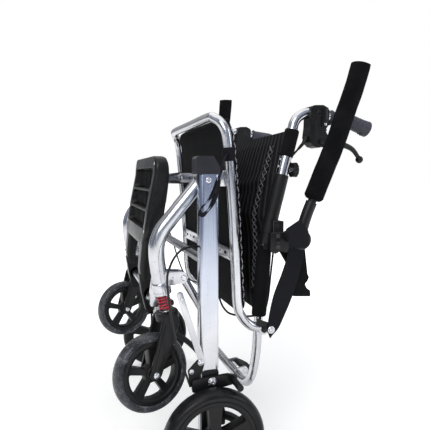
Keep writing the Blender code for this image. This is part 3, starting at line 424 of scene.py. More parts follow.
def smooth(points, per=6):
    """A Catmull-Rom curve through the points."""
    pts = [Vector(p) for p in points]
    out = []
    for i in range(len(pts) - 1):
        a = pts[i - 1] if i else pts[0] * 2 - pts[1]
        b, c = pts[i], pts[i + 1]
        d = pts[i + 2] if i + 2 < len(pts) else pts[-1] * 2 - pts[-2]
        for k in range(per):
            t = k / per
            out.append(((b * 2) + (c - a) * t + (a * 2 - b * 5 + c * 4 - d) * t * t
                        + (b * 3 - a - c * 3 + d) * t * t * t) / 2)
    return out + [pts[-1]]


def eased(values, count):
    """The values spread over count steps, in straight lines."""
    out = []
    for k in range(count):
        at = k / (count - 1) * (len(values) - 1)
        i = min(int(at), len(values) - 2)
        out.append(values[i] + (values[i + 1] - values[i]) * (at - i))
    return out


def sweep(points, radius, look, sides=28, flat=1.0, up=(1, 0, 0), inner=0.0, ends=0.0):
    """A bar or pipe along the points; ends is the size of its rounded end corners."""
    pts = [Vector(p) for p in points]
    radii = list(radius) if isinstance(radius, (list, tuple)) else [radius] * len(pts)
    if ends:
        for end, step, where in ((0, 1, slice(0, 1)), (-1, -1, slice(-1, None))):
            along = (pts[end + step] - pts[end]).normalized()
            tip, full = pts[end], radii[end]
            angles = [math.pi / 2 * k / 3 for k in (3, 2, 1, 0)][::step]
            pts[where] = [tip + along * ends * (1 - math.sin(a)) for a in angles]
            radii[where] = [full - ends * (1 - math.cos(a)) for a in angles]
    bm = bmesh.new()
    side = None
    rows = []
    for i, point in enumerate(pts):
        tangent = (pts[min(i + 1, len(pts) - 1)] - pts[max(i - 1, 0)]).normalized()
        if side is None:
            lead = Vector(up) if abs(tangent.dot(Vector(up))) < 0.9 else Vector((0, 0, 1))
            side = lead.cross(tangent)
        side = (side - tangent * side.dot(tangent)).normalized()
        rows.append((point, side.copy(), tangent.cross(side)))

    def tube(sizes):
        rings = []
        turns = [2 * math.pi * (k + 0.5) / sides for k in range(sides)]
        for (point, a, b), r in zip(rows, sizes):
            rings.append([bm.verts.new(point + (a * math.cos(t) + b * math.sin(t) * flat) * r)
                          for t in turns])
        skinned(bm, rings, caps=False)
        return rings

    outer = tube(radii)
    if inner:
        bore = tube([inner] * len(pts))
        for end in (0, -1):
            skinned(bm, [outer[end], bore[end]], caps=False)
    else:
        bm.faces.new(outer[0])
        bm.faces.new(outer[-1])
    return shape(bm, look, "sweep")


def lathe(profile, origin, look, axis=(1, 0, 0), sides=48, ring=False):
    """Turns (radius, distance) points about an axis; ring closes the profile on itself."""
    axis = Vector(axis).normalized()
    down = Vector((0, 0, -1)) if abs(axis.z) < 0.9 else Vector((0, -1, 0))
    first = (down - axis * down.dot(axis)).normalized()
    second = axis.cross(first)
    turns = [2 * math.pi * k / sides for k in range(sides)]
    bm = bmesh.new()
    rows = []
    for radius, along in profile:
        rows.append([bm.verts.new(Vector(origin) + axis * along
                                  + (first * math.cos(a) + second * math.sin(a)) * radius) for a in turns])
    skinned(bm, rows, ring)
    return shape(bm, look, "lathe")


def pin(radius, start, end, spot, look, axis=(1, 0, 0), sides=48):
    """A round bar along X through a (y, z) spot."""
    return lathe([(radius, start), (radius, end)], (0, *spot), look, axis, sides)


def rounded(outline, radius, steps=5):
    """The outline with its corners rounded."""
    pts = [Vector(p) for p in outline]
    out = []
    for i, p in enumerate(pts):
        before, after = pts[i - 1] - p, pts[(i + 1) % len(pts)] - p
        half = before.angle(after) / 2
        reach = min(radius / math.tan(half), before.length * 0.49, after.length * 0.49)
        start, end = p + before.normalized() * reach, p + after.normalized() * reach
        for k in range(steps + 1):
            t = k / steps
            q = start.lerp(p, t).lerp(p.lerp(end, t), t)
            out.append((q.x, q.y))
    return out


def box2(a0, a1, b0, b1):
    return [(a0, b0), (a1, b0), (a1, b1), (a0, b1)]


def disc2(a, b, radius, steps=28, start=0.0, end=2 * math.pi):
    last = steps if end - start >= 2 * math.pi else steps + 1
    return [(a + radius * math.cos(start + (end - start) * k / steps),
             b + radius * math.sin(start + (end - start) * k / steps)) for k in range(last)]


def link2(p, q, rp, rq, steps=12):
    """The outline of a bar with round ends of two sizes."""
    angle = math.atan2(q[1] - p[1], q[0] - p[0])
    return (disc2(p[0], p[1], rp, steps, angle + math.pi / 2, angle + math.pi * 1.5)
            + disc2(q[0], q[1], rq, steps, angle - math.pi / 2, angle + math.pi / 2))


def prism(outline, axis, low, high, look, bevel=0.0008, segments=2):
    """Extrudes an outline along X, Y or Z, with softened rims."""
    bm = bmesh.new()
    ends = []
    for value in sorted((low, high)):
        spots = [{"x": (value, a, b), "y": (a, value, b), "z": (a, b, value)}[axis] for a, b in outline]
        ends.append([bm.verts.new(at) for at in spots])
    skinned(bm, ends)
    if bevel:
        rims = [e for e in bm.edges if (e.verts[0] in ends[0]) == (e.verts[1] in ends[0])]
        bmesh.ops.bevel(bm, geom=rims, offset=bevel, segments=segments, profile=0.6, affect="EDGES",
                        clamp_overlap=True)
    return shape(bm, look, "prism")


def plate(box, corner, axis, low, high, look, bevel=0.0008, segments=2, steps=5):
    """A rectangle with round corners, extruded."""
    return prism(rounded(box2(*box), corner, steps), axis, low, high, look, bevel, segments)


def carve(base, tools):
    """Cuts the tools out of the base."""
    for tool in tools:
        mod = base.modifiers.new("carve", "BOOLEAN")
        mod.operation = "DIFFERENCE"
        mod.object = tool
        mod.solver = "EXACT"
        baked(base)
        bpy.data.objects.remove(tool, do_unlink=True)
    return base


def softened(obj, width, segments=2, angle=40.0):
    """Rounds the edges of a carved shape."""
    mod = obj.modifiers.new("soft", "BEVEL")
    mod.width = width
    mod.segments = segments
    mod.limit_method = "ANGLE"
    mod.angle_limit = math.radians(angle)
    return baked(obj)


def bolt(y, z, x, side=1, radius=0.0062, height=0.003, washer=0.0, look=None, axis=(1, 0, 0)):
    """A button-head screw with a round recess, its head facing out along side."""
    look = look or ZINC
    out = Vector(axis) * side
    parts = []
    base = 0.0
    if washer:
        parts.append(lathe([
            (0.002, -0.0002), (washer, -0.0002), (washer, 0.0009), (washer - 0.0004, 0.0013), (0.002, 0.0013)
        ], (x, y, z), look, out, 32))
        base = 0.0013
    profile = [
        (radius, base - 0.0004), (radius, base + height * 0.25), (radius * 0.93, base + height * 0.62),
        (radius * 0.74, base + height * 0.92), (radius * 0.46, base + height),
        (radius * 0.44, base + height * 0.35), (0.0002, base + height * 0.3)]
    parts.append(lathe(profile, (x, y, z), look, out, 24))
    return parts


def joined(name, parts, sharp=38.0):
    """One object from the parts, each keeping its material."""
    bm = bmesh.new()
    looks = []
    for part in parts:
        look = part.data.materials[0]
        if look not in looks:
            looks.append(look)
        start = len(bm.faces)
        bm.from_mesh(part.data)
        bm.faces.ensure_lookup_table()
        for face in bm.faces[start:]:
            face.material_index = looks.index(look)
            face.smooth = True
        bpy.data.objects.remove(part, do_unlink=True)
    mesh = bpy.data.meshes.new(name)
    bm.to_mesh(mesh)
    bm.free()
    for look in looks:
        mesh.materials.append(look)
    mesh.set_sharp_from_angle(angle=math.radians(sharp))
    return linked(name, mesh)


def place(obj, body, nodes=()):
    """Moves a finished piece into the part's frame, makes it ride and lets it stand for its solids."""
    obj.data.transform(Matrix.Translation((0, -MID_Y, 0)))
    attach(obj, body)
    if nodes:
        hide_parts(*nodes)
    return obj


def far_twin(obj, name, turn=0.0, about=None):
    """The mirror image of a piece, turned about a line along X."""
    mesh = obj.data.copy()
    mesh.transform(Matrix.Scale(-1, 4, (1, 0, 0)))
    mesh.flip_normals()
    if turn:
        at = Vector((0, *about))
        mesh.transform(Matrix.Translation(at) @ Matrix.Rotation(turn, 4, "X") @ Matrix.Translation(-at))
    return linked(name, mesh)


def both(name, parts, body, nodes=(), turn=0.0, about=None, sharp=38.0):
    """The left piece and its right-hand twin; body may be one name for both."""
    near = joined(name + "_left", parts, sharp)
    far = far_twin(near, name + "_right", turn, about)
    bodies = (body, body) if body in frame["bodies"] else (body + "_left", body + "_right")
    place(near, bodies[0], [n + "_l" for n in nodes])
    place(far, bodies[1], [n + "_r" for n in nodes])
    return near, far


# Rear frame
def rear_frame():
    x0, x1, y0, y1, z0, z1 = 0.245, 0.275, -0.022, 0.0155, 0.088, 0.6
    section = rounded(box2(x0, x1, y0, y1), 0.0085, 8)
    hollow = rounded(box2(x0 + 0.0024, x1 - 0.0024, y0 + 0.0024, y1 - 0.0024), 0.006, 6)
    leg = prism(section, "z", z0, z1, ALLOY_LEG, 0.0006, 2)
    leg = carve(leg, [prism(hollow, "z", z0 - 0.01, z1 - 0.05, ALLOY_LEG, 0)])
    ay, az = PIVOT
    parts = [
        leg, pin(0.005, 0.1965, x1, (ay, az), ZINC),
        lathe([(0.0085, 0.1942), (0.0085, 0.1966), (0.005, 0.1974)], (0, ay, az), ZINC, sides=6),
        pin(0.004, 0.2335, x0, STRUT_R, ZINC), pin(0.0065, 0.2322, 0.2342, STRUT_R, ZINC, sides=24),
        pin(0.0045, x1 - 0.001, 0.2866, BRAKE_P, ZINC)]
    parts += bolt(ay, az, x1, 1, 0.006, 0.0028, 0.0)
    parts += bolt(*BRAKE_P, 0.286, 1, 0.0068, 0.0032, 0.0085)
    both("leg", parts, "frame", ["rear_leg"])

    cap = [(y0 - 0.008, z1 + 0.0003), (y1 + 0.001, z1 + 0.0003), (y1 + 0.001, 0.613), (0.004, 0.634),
           (-0.027, 0.634), (y0 - 0.008, 0.629)]
    lip = [(y0 - 0.0085, z1 + 0.0003), (y1 + 0.0014, z1 + 0.0003), (y1 + 0.0014, z1 + 0.004),
           (y0 - 0.0085, z1 + 0.004)]
    both("leg_top", [
        prism(rounded(cap, 0.004), "x", x0 - 0.0015, x1 + 0.0013, CAP, 0.0028, 4),
        prism(rounded(lip, 0.0012), "x", x0 - 0.0018, x1 + 0.0016, CAP, 0.0008)
    ], "frame", ["leg_cap"])
    bar = joined("cross_tube", [sweep([(-x0, -0.005, 0.432), (0, -0.005, 0.432), (x0, -0.005, 0.432)], 0.01,
                                      ALLOY_X, 32)])
    place(bar, "frame", ["rear_cross_tube"])

    wy, wz = WHEEL_C[1:]
    thick = [(-0.024, 0.173), (0.012, 0.173), (0.0155, 0.15), (0.0155, 0.088), (-0.0005, 0.074),
             (-0.0155, 0.078), (-0.024, 0.09)]
    thin = [(-0.019, 0.223), (0.0135, 0.223), (0.0135, 0.16), (-0.019, 0.16)]
    recess = [(-0.016, 0.166), (0.006, 0.166), (0.009, 0.148), (0.009, 0.126), (-0.016, 0.126)]
    bracket = prism(rounded(thick, 0.006), "x", x1 + 0.0003, 0.2862, BLACK, 0.0018, 3)
    bracket = carve(bracket, [prism(rounded(recess, 0.004), "x", 0.284, 0.29, BLACK, 0)])
    parts = [bracket, prism(rounded(thin, 0.006), "x", x1 + 0.0003, x1 + 0.0015, BLACK, 0.0004),
             lathe([(0.0125, 0.285), (0.0118, 0.2882), (0.006, 0.2884)], (0, wy, wz), ZINC),
             pin(0.006, 0.288, 0.329, (wy, wz), ZINC)]
    parts += bolt(wy, wz, 0.3276, 1, 0.0085, 0.004, 0.011)
    both("axle_plate", parts, "frame", ["wheel_bracket"])

    route = smooth([
        (0.26, 0.0195, 0.122), (0.26, 0.045, 0.112), (0.26, 0.085, 0.08), (0.26, 0.118, 0.045),
        (0.26, 0.135, 0.0165)])
    parts = [
        sweep(route, 0.0085, TUBE_BLACK, 24),
        plate((0.2475, 0.2725, 0.104, 0.14), 0.006, "y", y1 + 0.0003, 0.0285, BLACK, 0.002, 3),
        lathe([(0.013, 0.0), (0.0142, 0.0012), (0.015, 0.004), (0.0146, 0.018), (0.0132, 0.025),
               (0.0105, 0.028)], (0.26, 0.137, 0), TYRE, (0, 0, 1), 36)]
    for z in (0.111, 0.133):
        parts += bolt(0.0285, z, 0.26, 1, 0.0038, 0.002, axis=(0, 1, 0))
    both("tip_lever", parts, "frame", ["tipping_lever"])


# Wheels
def wheel(name, side, centre, axis, radius, width, tyre, hub, spoke_in, spoke_out, tyre_look, cap):
    """A moulded wheel: a disc with a thick rim and hub, five rounded windows cut through its web."""
    half = width / 2
    seat = radius - tyre
    rim_in = seat - 0.0105
    web = half * 0.62
    centre = Vector(centre)
    axis = Vector(axis).normalized()
    across = Vector((0, 0, 1)).cross(axis).normalized()
    rise = axis.cross(across)
    profile = mirrored([
        (cap, -half), (hub - 0.0015, -half), (hub, -half + 0.0015), (hub + 0.001, -web),
        (rim_in - 0.001, -web), (rim_in + 0.0015, -half * 0.7), (rim_in + 0.003, -half * 0.82),
        (seat - 0.0012, -half * 0.84), (seat - 0.0002, -half * 0.76)])
    disc = lathe(profile, centre, BLACK, axis, 80, ring=True)
    low, high = hub + 0.0035, rim_in - 0.0015
    tools = []
    for k in range(SPOKES):
        a0 = 2 * math.pi * (k + 0.25) / SPOKES
        a1 = a0 + 2 * math.pi / SPOKES
        begin = a0 + math.asin(min(spoke_out / 2 / high, 0.9))
        finish = a1 - math.asin(spoke_out / 2 / high)
        outline = [(low, a0 + math.asin(min(spoke_in / 2 / low, 0.9))), (high, begin)]
        for j in range(1, 8):
            outline.append((high, begin + (finish - begin) * j / 7))
        outline.append((low, a1 - math.asin(min(spoke_in / 2 / low, 0.9))))
        flat = rounded([(r * math.cos(a), r * math.sin(a)) for r, a in outline], spoke_out * 0.28, 3)
        bm = bmesh.new()
        skinned(bm, [[bm.verts.new(centre + axis * d + across * u + rise * v) for u, v in flat]
                     for d in (-half * 1.2, half * 1.2)])
        tools.append(shape(bm, BLACK, "window"))
    disc = softened(carve(disc, tools), min(0.0016, width * 0.05), 2, 42.0)
    body = (name + "_wheel_" if name == "rear" else name + "_") + side
    place(joined(name + "_rim_" + side, [disc]), body, [name + "_wheel_" + side[0]])
    edge = [(seat, -half * 0.8), (seat + tyre * 0.16, -half * 0.9)]
    wide = math.radians(82)
    arc = []
    for k in range(-8, 9):
        a = wide * k / 8
        arc.append((radius - tyre * 0.62 * (1 - math.cos(a)) ** 1.15, half * math.sin(a) / math.sin(wide)))
    crown = edge + arc + [(r, -d) for r, d in reversed(edge)]
    tread = joined(name + "_tread_" + side, [lathe(crown, centre, tyre_look, axis, 96, ring=True)])
    place(tread, body, [name + "_tyre_" + side[0]])


def rear_wheels():
    wx, wy, wz = WHEEL_C
    for side, sign in (("left", 1), ("right", -1)):
        wheel("rear", side, (sign * wx, wy, wz), (1, 0, 0), radius=0.1, width=0.038, tyre=0.018, hub=0.021,
              spoke_in=0.02, spoke_out=0.027, tyre_look=TYRE, cap=0.0067)


def stem_point(below):
    up = Vector((0, -math.sin(STEM_TILT), math.cos(STEM_TILT)))
    return Vector((FRONT_X, *STEM_REF)) - up * below, up


def castors():
    ref, up = stem_point(0)
    both("stem_post", [
        lathe([(0.005, -0.0545), (0.005, 0.0055), (0.004, 0.006)], ref, ZINC, up, 32),
        lathe([(0.006, -0.0497), (0.006, -0.024)], ref, GREY_PLASTIC, up, 32),
        lathe([(0.005, -0.052), (0.013, -0.052), (0.0132, -0.0516), (0.0132, -0.0502), (0.0128, -0.0497),
               (0.005, -0.0497)], ref, ZINC, up, 40)], "stem", ["stem"])
    mean, wire, curls = 0.0113, 0.0017, 5.0
    first = Vector((1, 0, 0))
    second = up.cross(first)
    coil = []
    steps = int(curls * 28)
    for k in range(steps + 1):
        share = k / steps
        a = 2 * math.pi * curls * share
        rise = -0.0478 + 0.0272 * (share - 0.035 * math.sin(2 * math.pi * share))
        coil.append(ref + up * rise + first * mean * math.cos(a) + second * mean * math.sin(a))
    coils = both("coil", [sweep(coil, wire, RED, 12, up=up)], "front", ["spring"])
    for side, sign, piece in (("left", 1, coils[0]), ("right", -1, coils[1])):
        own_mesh(piece)

    forward = Vector((0, -math.cos(STEM_TILT), -math.sin(STEM_TILT)))
    centre = stem_point(CASTOR_BELOW)[0] + forward * CASTOR_TRAIL
    inner, outer = 0.0178, 0.0238
    top = ref - up * 0.0525
    crown = lathe([
        (0.006, -0.069), (0.0215, -0.069), (0.0232, -0.0678), (0.0235, -0.0655), (0.0232, -0.057),
        (0.0218, -0.0538), (0.0195, -0.0526), (0.006, -0.0526)], ref, SATIN, up, 56)
    parts = [crown]
    outline = link2((centre.y, centre.z), (top.y - 0.002, top.z - 0.02), 0.0115, 0.0185, 14)
    rib = link2((centre.y, centre.z), (top.y - 0.004, top.z - 0.026), 0.006, 0.0115, 12)
    for sign in (-1, 1):
        parts.append(prism(outline, "x", FRONT_X + sign * inner, FRONT_X + sign * outer, SATIN, 0.0022, 4))
        parts.append(prism(rib, "x", FRONT_X + sign * (outer - 0.001), FRONT_X + sign * (outer + 0.001),
                           SATIN, 0.0009, 3))
        parts.append(lathe([
            (0.01, 0.0), (0.0096, 0.0012), (0.0078, 0.0014)
        ], (FRONT_X + sign * (outer - 0.0002), centre.y, centre.z), SATIN, (sign, 0, 0), 36))
        parts += bolt(centre.y, centre.z, FRONT_X + sign * (outer + 0.001), sign, 0.0062, 0.0026)
    parts.append(lathe([(0.004, -0.0236), (0.004, 0.0236)], centre, ZINC, (1, 0, 0), 24))
    near = joined("fork_arm_left", parts)
    far = far_twin(near, "fork_arm_right")
    spin = Matrix.Rotation(CASTOR_TURN, 4, up)
    for fork, side, sign in ((near, "left", 1), (far, "right", -1)):
        mirror = Vector((sign, 1, 1))
        fork.data.transform(Matrix.Translation(ref * mirror) @ spin @ Matrix.Translation(-ref * mirror))
        place(fork, "fork_" + side, ["fork_" + side[0]])
        hub = ref * mirror + spin @ ((centre - ref) * mirror)
        wheel("castor", side, hub, spin @ Vector((1, 0, 0)), radius=0.0762, width=0.03, tyre=0.015, hub=0.014,
              spoke_in=0.011, spoke_out=0.015, tyre_look=SMOKY, cap=0.0047)


# Front frame and spreader
def front_frame():
    ref, up = stem_point(0)
    path = smooth(yz(FRONT_X, [
        (-0.008, 0.5865), (-0.0228, 0.5676), (-0.0692, 0.5128), (-0.0872, 0.489), (-0.0952, 0.466),
        (-0.0964, 0.4445), (-0.0938, 0.4188)]), 7)
    path += [ref + up * 0.01, ref - up * 0.008]
    ears = rounded([
        (-0.094, 0.384), (-0.045, 0.388), (-0.034, 0.399), (-0.045, 0.4105), (-0.094, 0.416)], 0.008)
    fy, fz = STRUT_F
    hy, hz = HINGE_F
    lug = [(hy - 0.0125, hz - 0.009), (hy + 0.011, hz - 0.009), (-0.074, 0.372), (-0.074, 0.402),
           (-0.1, 0.402), (hy - 0.0135, 0.362)]
    parts = [
        sweep(path, FRONT_R, ALLOY_Z, 40),
        lathe(mirrored([(0.0053, -0.0157), (0.015, -0.0157), (0.0163, -0.0145)]), (FRONT_X, *PIVOT), ALLOY_Z,
              (1, 0, 0), 48),
        lathe([(0.006, -0.0183), (0.0168, -0.0183), (0.0176, -0.0175), (0.0178, -0.013), (0.0172, -0.0126),
               (0.0172, -0.011), (0.0178, -0.0106), (0.0178, 0.003), (0.0172, 0.0052), (0.0156, 0.0066)],
              ref, ALLOY_Z, up, 48),
        prism(rounded(lug, 0.005), "x", 0.188, 0.1972, ALLOY_EAR, 0.001, 3),
        prism(box2(-0.098, -0.079, 0.3745, 0.3985), "x", 0.193, 0.216, ALLOY_EAR, 0.0015, 2),
        pin(0.004, 0.214, 0.2425, (fy, fz), ZINC)]
    for a, b in ((0.211, 0.2153), (0.235, 0.2388)):
        parts.append(prism(ears, "x", a, b, ALLOY_EAR, 0.0009, 3))
    parts += bolt(fy, fz, 0.2386, 1, 0.0056, 0.0026)
    parts += bolt(-0.069, 0.3995, 0.2386, 1, 0.003, 0.0016)
    for below in (0.004, -0.012):
        at = ref + up * below
        parts += bolt(at.y, at.z, at.x + 0.015, 1, 0.003, 0.002)
    near = joined("front_leg_left", parts)
    far = far_twin(near, "front_leg_right")
    bar = joined("front_cross_tube", [sweep([(-0.19, hy, hz), (0, hy, hz), (0.19, hy, hz)], 0.0095, ALLOY_X,
                                            32)])
    place(near, "front", ["front_frame"])
    place(far, "front", ())
    place(bar, "front", ())


def struts():
    fy, fz = STRUT_F
    my, mz = STRUT_M
    ry, rz = STRUT_R
    start, end = Vector((FRONT_X, fy, fz)), Vector((FRONT_X, my, mz))
    lean = (end - start).normalized()
    barrel = mirrored([(0.0047, -0.009), (0.009, -0.009), (0.0095, -0.0084)])
    parts = [
        sweep([start + lean * 0.006, (start + end) / 2, end - lean * 0.004], 0.0086, ALLOY_Z, 28),
        lathe(barrel, (FRONT_X, fy, fz), ALLOY_Z, (1, 0, 0), 36),
        lathe(mirrored([(0.0002, -0.0083), (0.0084, -0.0083), (0.009, -0.0077)]), (FRONT_X, my, mz), ALLOY_Z,
              (1, 0, 0), 36)]
    both("strut_front", parts, "front_strut", ["front_strut"])
    bar = prism(link2((ry, rz), (my, mz), 0.008, 0.008), "x", 0.2364, 0.2428, ALLOY_EAR, 0.0009, 3)
    bar = carve(bar, [pin(0.0046, 0.22, 0.25, (ry, rz), ALLOY_EAR)])
    both("strut_rear", [bar] + bolt(my, mz, 0.2426, 1, 0.0045, 0.0016), "rear_strut", ["rear_strut"])


PLATE_LINE = [
    (0.34, -0.112), (0.4, -0.117), (0.455, -0.112), (0.475, -0.108), (0.53, -0.099), (0.6, -0.0845),
    (0.64, -0.0815)]


def plate_front(z):
    return between(PLATE_LINE, z)


def slab(x0, x1, stations, corner, look, sink=0.0):
    """A moulded plate through (z, inset, thickness) stations, its section a rectangle with round corners."""
    bm = bmesh.new()
    rows = []
    for z, inset, thick in stations:
        front = plate_front(z) + sink
        section = rounded(box2(x0 + inset, x1 - inset, front, front + thick), min(corner, thick * 0.45), 4)
        rows.append([bm.verts.new((x, y, z)) for x, y in section])
    skinned(bm, rows)
    return shape(bm, look, "slab")


def finer(stations, per=4):
    """Stations with smooth steps between them."""
    return [tuple(p) for p in smooth([Vector(s) for s in stations], per)]


def footplate():
    body = finer([
        (0.452, 0.03, 0.024), (0.4545, 0.018, 0.029), (0.46, 0.009, 0.032), (0.474, 0.002, 0.035),
        (0.49, 0, 0.036), (0.53, 0, 0.037), (0.57, 0, 0.035), (0.6, 0, 0.032), (0.618, 0.0012, 0.03),
        (0.63, 0.007, 0.027), (0.6365, 0.015, 0.024), (0.6395, 0.029, 0.02)], 3)
    base = slab(-0.15, 0.15, body, 0.0085, SATIN)
    tools = []
    for z0, z1 in ((0.484, 0.5215), (0.5265, 0.564), (0.569, 0.615)):
        mid = (z0 + z1) / 2
        hollow = rounded(box2(-0.123, 0.123, z0, z1), 0.012, 5)
        tools.append(prism(hollow, "y", plate_front(mid) - 0.03, plate_front(mid) + 0.0165, SATIN, 0))
    base = softened(carve(base, tools), 0.0018, 3, 50.0)
    hy, hz = HINGE_F
    parts = [base]
    for z0, z1 in ((0.486, 0.5195), (0.5285, 0.562), (0.571, 0.613)):
        mid = (z0 + z1) / 2
        for k in range(-5, 6):
            x = k * 0.0205
            parts.append(prism(rounded(box2(x - 0.0014, x + 0.0014, z0, z1), 0.001, 2), "y",
                               plate_front(mid) + 0.0095, plate_front(mid) + 0.0172, BLACK, 0.0005, 1))
    for side in (-1, 1):
        a, b = sorted((side * 0.092, side * 0.136))
        arm = finer([(0.368, 0.0085, 0.019), (0.385, 0.0055, 0.022), (0.4, 0.003, 0.024), (0.43, 0.0, 0.027),
                     (0.46, -0.0035, 0.029), (0.4785, -0.006, 0.03)])
        parts.append(slab(a, b, arm, 0.0075, SATIN, 0.0015))
        a, b = side * 0.101, side * 0.128
        neck = [(hy - 0.025, 0.386), (hy - 0.019, 0.345), (hy - 0.01, 0.306), (hy - 0.002, 0.303),
                (hy + 0.006, 0.306), (hy + 0.0105, 0.33), (hy + 0.013, 0.348), (hy + 0.007, 0.386)]
        neck = carve(prism(rounded(neck, 0.003), "x", a, b, SATIN, 0.002, 3),
                     [pin(0.0101, -0.14, 0.14, (hy, hz), SATIN)])
        parts.append(neck)
        barrel = [(0.0101, a), (0.0148, a), (0.0155, a + side * 0.0008), (0.0155, b - side * 0.0008),
                  (0.0148, b), (0.0101, b)]
        parts.append(lathe(barrel, (0, hy, hz), SATIN, (1, 0, 0), 48, ring=True))
        parts += bolt(hy - 0.0035, 0.3365, side * 0.128, side, 0.0056, 0.003, 0.0072)
        for z in (0.48, 0.623):
            parts += bolt(plate_front(z) + 0.0004, z, side * 0.136, 1, 0.003, 0.0014, axis=(0, -1, 0))
    done = joined("footplate_shell", parts)
    place(done, "footrest", ["footplate"])


# Seat
SEAT_LINE = [
    (0.3, 0.087), (0.3262, 0.0771), (0.3864, 0.0735), (0.5147, 0.0668), (0.6376, 0.0568), (0.6647, 0.0542),
    (0.6837, 0.0511), (0.7074, 0.0443), (0.72, 0.0345)]


def seat_y(z):
    return between(SEAT_LINE, z)


def cushion_y(z):
    """The seat line without its bend at the top."""
    return seat_y(min(z, 0.705))


def seat_frame():
    half = [
        (SEAT_X, 0.155, 0.266), (SEAT_X, 0.1244, 0.2735), (SEAT_X, 0.1058, 0.2801), (SEAT_X, 0.0874, 0.2993),
        (SEAT_X, 0.0771, 0.3262), (SEAT_X, 0.0735, 0.3864), (SEAT_X, 0.0668, 0.5147),
        (SEAT_X, 0.0568, 0.6376), (SEAT_X, 0.0542, 0.6647), (SEAT_X - 0.001, 0.05, 0.688),
        (SEAT_X - 0.009, 0.0425, 0.705), (SEAT_X - 0.027, 0.0345, 0.716), (SEAT_X - 0.055, 0.03, 0.72)]
    loop = half + [(0, 0.03, 0.72)] + [(-x, y, z) for x, y, z in reversed(half)]
    parts = [sweep(smooth(loop, 5), SEAT_R, ALLOY_Z, 36, ends=0.0015)]
    for z in (0.5925, 0.432):
        y = seat_y(z)
        bar = plate((-0.206, 0.206, z - 0.013, z + 0.013), 0.003, "y", y - 0.0062, y - 0.0022,
                    ALLOY_EAR, 0.0006, 2)
        tools = []
        for x in (-0.13, 0, 0.13):
            tools.append(lathe([(0.0035, -0.02), (0.0035, 0.02)], (x, y, z), ALLOY_EAR, (0, 1, 0), 24))
        for x in (-0.165, -0.0975, -0.0325, 0.0325, 0.0975, 0.165):
            slot = rounded(box2(x - 0.0085, x + 0.0085, z - 0.0033, z + 0.0033), 0.0033, 4)
            tools.append(prism(slot, "y", y - 0.02, y + 0.02, ALLOY_EAR, 0))
        parts.append(carve(bar, tools))
        for side in (-1, 1):
            parts += bolt(y - 0.0061, z, side * 0.188, 1, 0.0042, 0.0018, axis=(0, -1, 0))
    by, bz = SEAT_B
    for side in (1, -1):
        ear = prism(link2(PIVOT, (0.0585, 0.5925), 0.0125, 0.017), "x", side * 0.1985, side * 0.2045,
                    ALLOY_EAR, 0.0008, 2)
        near, far = (0.18, 0.23) if side > 0 else (-0.23, -0.18)
        parts.append(carve(ear, [pin(0.0055, near, far, PIVOT, ALLOY_EAR)]))
        eye = mirrored([(0.0055, -0.0097), (0.011, -0.0097), (0.0115, -0.009)])
        parts.append(lathe(eye, (side * SEAT_X, by, bz), ALLOY_Z, (1, 0, 0), 40, ring=True))
        parts.append(pin(0.0042, 0.215, 0.2232, STRAP_BOLT, ZINC, (side, 0, 0)))
        parts += bolt(*STRAP_BOLT, side * 0.223, side, 0.0058, 0.0026, 0.008)
        lug = [(0.118, 0.296), (0.116, 0.284), (0.13, 0.274), (0.142, 0.266), (0.15, 0.272), (0.144, 0.285)]
        parts.append(prism(rounded(lug, 0.002), "x", side * 0.2196, side * 0.2203, BLACK, 0.0003, 1))
    place(joined("seat_tube", parts), "seat", ["seat_frame"])


def pillow(z0, z1, half, front, back, look, across=48, along=56):
    """A closed soft body; front and back give Y for (x share, z share, z), and half gives its width."""
    bm = bmesh.new()
    grids = []
    for pick in (front, back):
        rows = []
        for j in range(along + 1):
            v = math.sin(math.pi * (j / along - 0.5))
            row = []
            for i in range(across + 1):
                u = math.sin(math.pi * (i / across - 0.5))
                z = (z0 + z1) / 2 + v * (z1 - z0) / 2 * (1 - 0.02 * abs(u) ** 5.0)
                x = u * half(v) * (1 - 0.02 * abs(v) ** 5.0)
                row.append(bm.verts.new((x, pick(u, v, z), z)))
            rows.append(row)
        grids.append(rows)
    closed_grids(bm, *grids)
    return shape(bm, look, "pillow")


def puffed(obj, voxel, pressure, cap, frames=16):
    """Swells a closed cloth form a little by simulation, no point further than cap."""
    remesh = obj.modifiers.new("remesh", "REMESH")
    remesh.mode = "VOXEL"
    remesh.voxel_size = voxel
    baked(obj)
    before = [v.co.copy() for v in obj.data.vertices]
    cloth = obj.modifiers.new("cloth", "CLOTH")
    cloth.settings.use_pressure = True
    cloth.settings.uniform_pressure_force = pressure
    cloth.settings.effector_weights.gravity = 0.0
    cloth.settings.quality = 5
    cloth.point_cache.frame_start = 1
    cloth.point_cache.frame_end = frames
    scene = bpy.context.scene
    for step in range(1, frames + 1):
        scene.frame_set(step)
    graph = bpy.context.evaluated_depsgraph_get()
    grown = bpy.data.meshes.new_from_object(obj.evaluated_get(graph))
    obj.modifiers.clear()
    scene.frame_set(1)
    for vertex, start in zip(grown.vertices, before):
        move = vertex.co - start
        if move.length > cap:
            vertex.co = start + move * (cap / move.length)
    obj.data = grown
    return obj


def stitches(points, length, wire, look, swing=0.0, out=(1, 0, 0), across=(0, 1, 0), gap=0.5):
    """Thread showing on a surface: a dash at each of the points, slanting left and right in turn."""
    pts = [Vector(p) for p in points]
    total = sum((b - a).length for a, b in zip(pts, pts[1:]))
    count = max(2, int(total / length))
    parts = []
    dense = []
    for k in range(2 * count + 1):
        dense.append(at_share(pts, k / (2 * count)))
    for k in range(count):
        a, b = dense[2 * k], dense[2 * k + 1].lerp(dense[2 * k + 2], 1 - gap)
        sign = 1 if k % 2 else -1
        a = a - Vector(across) * swing * sign
        b = b + Vector(across) * swing * sign
        mid = (a + b) / 2 + Vector(out) * wire * 0.9
        parts.append(sweep([a, mid, b], [wire * 0.6, wire, wire * 0.6], look, 8))
    return parts


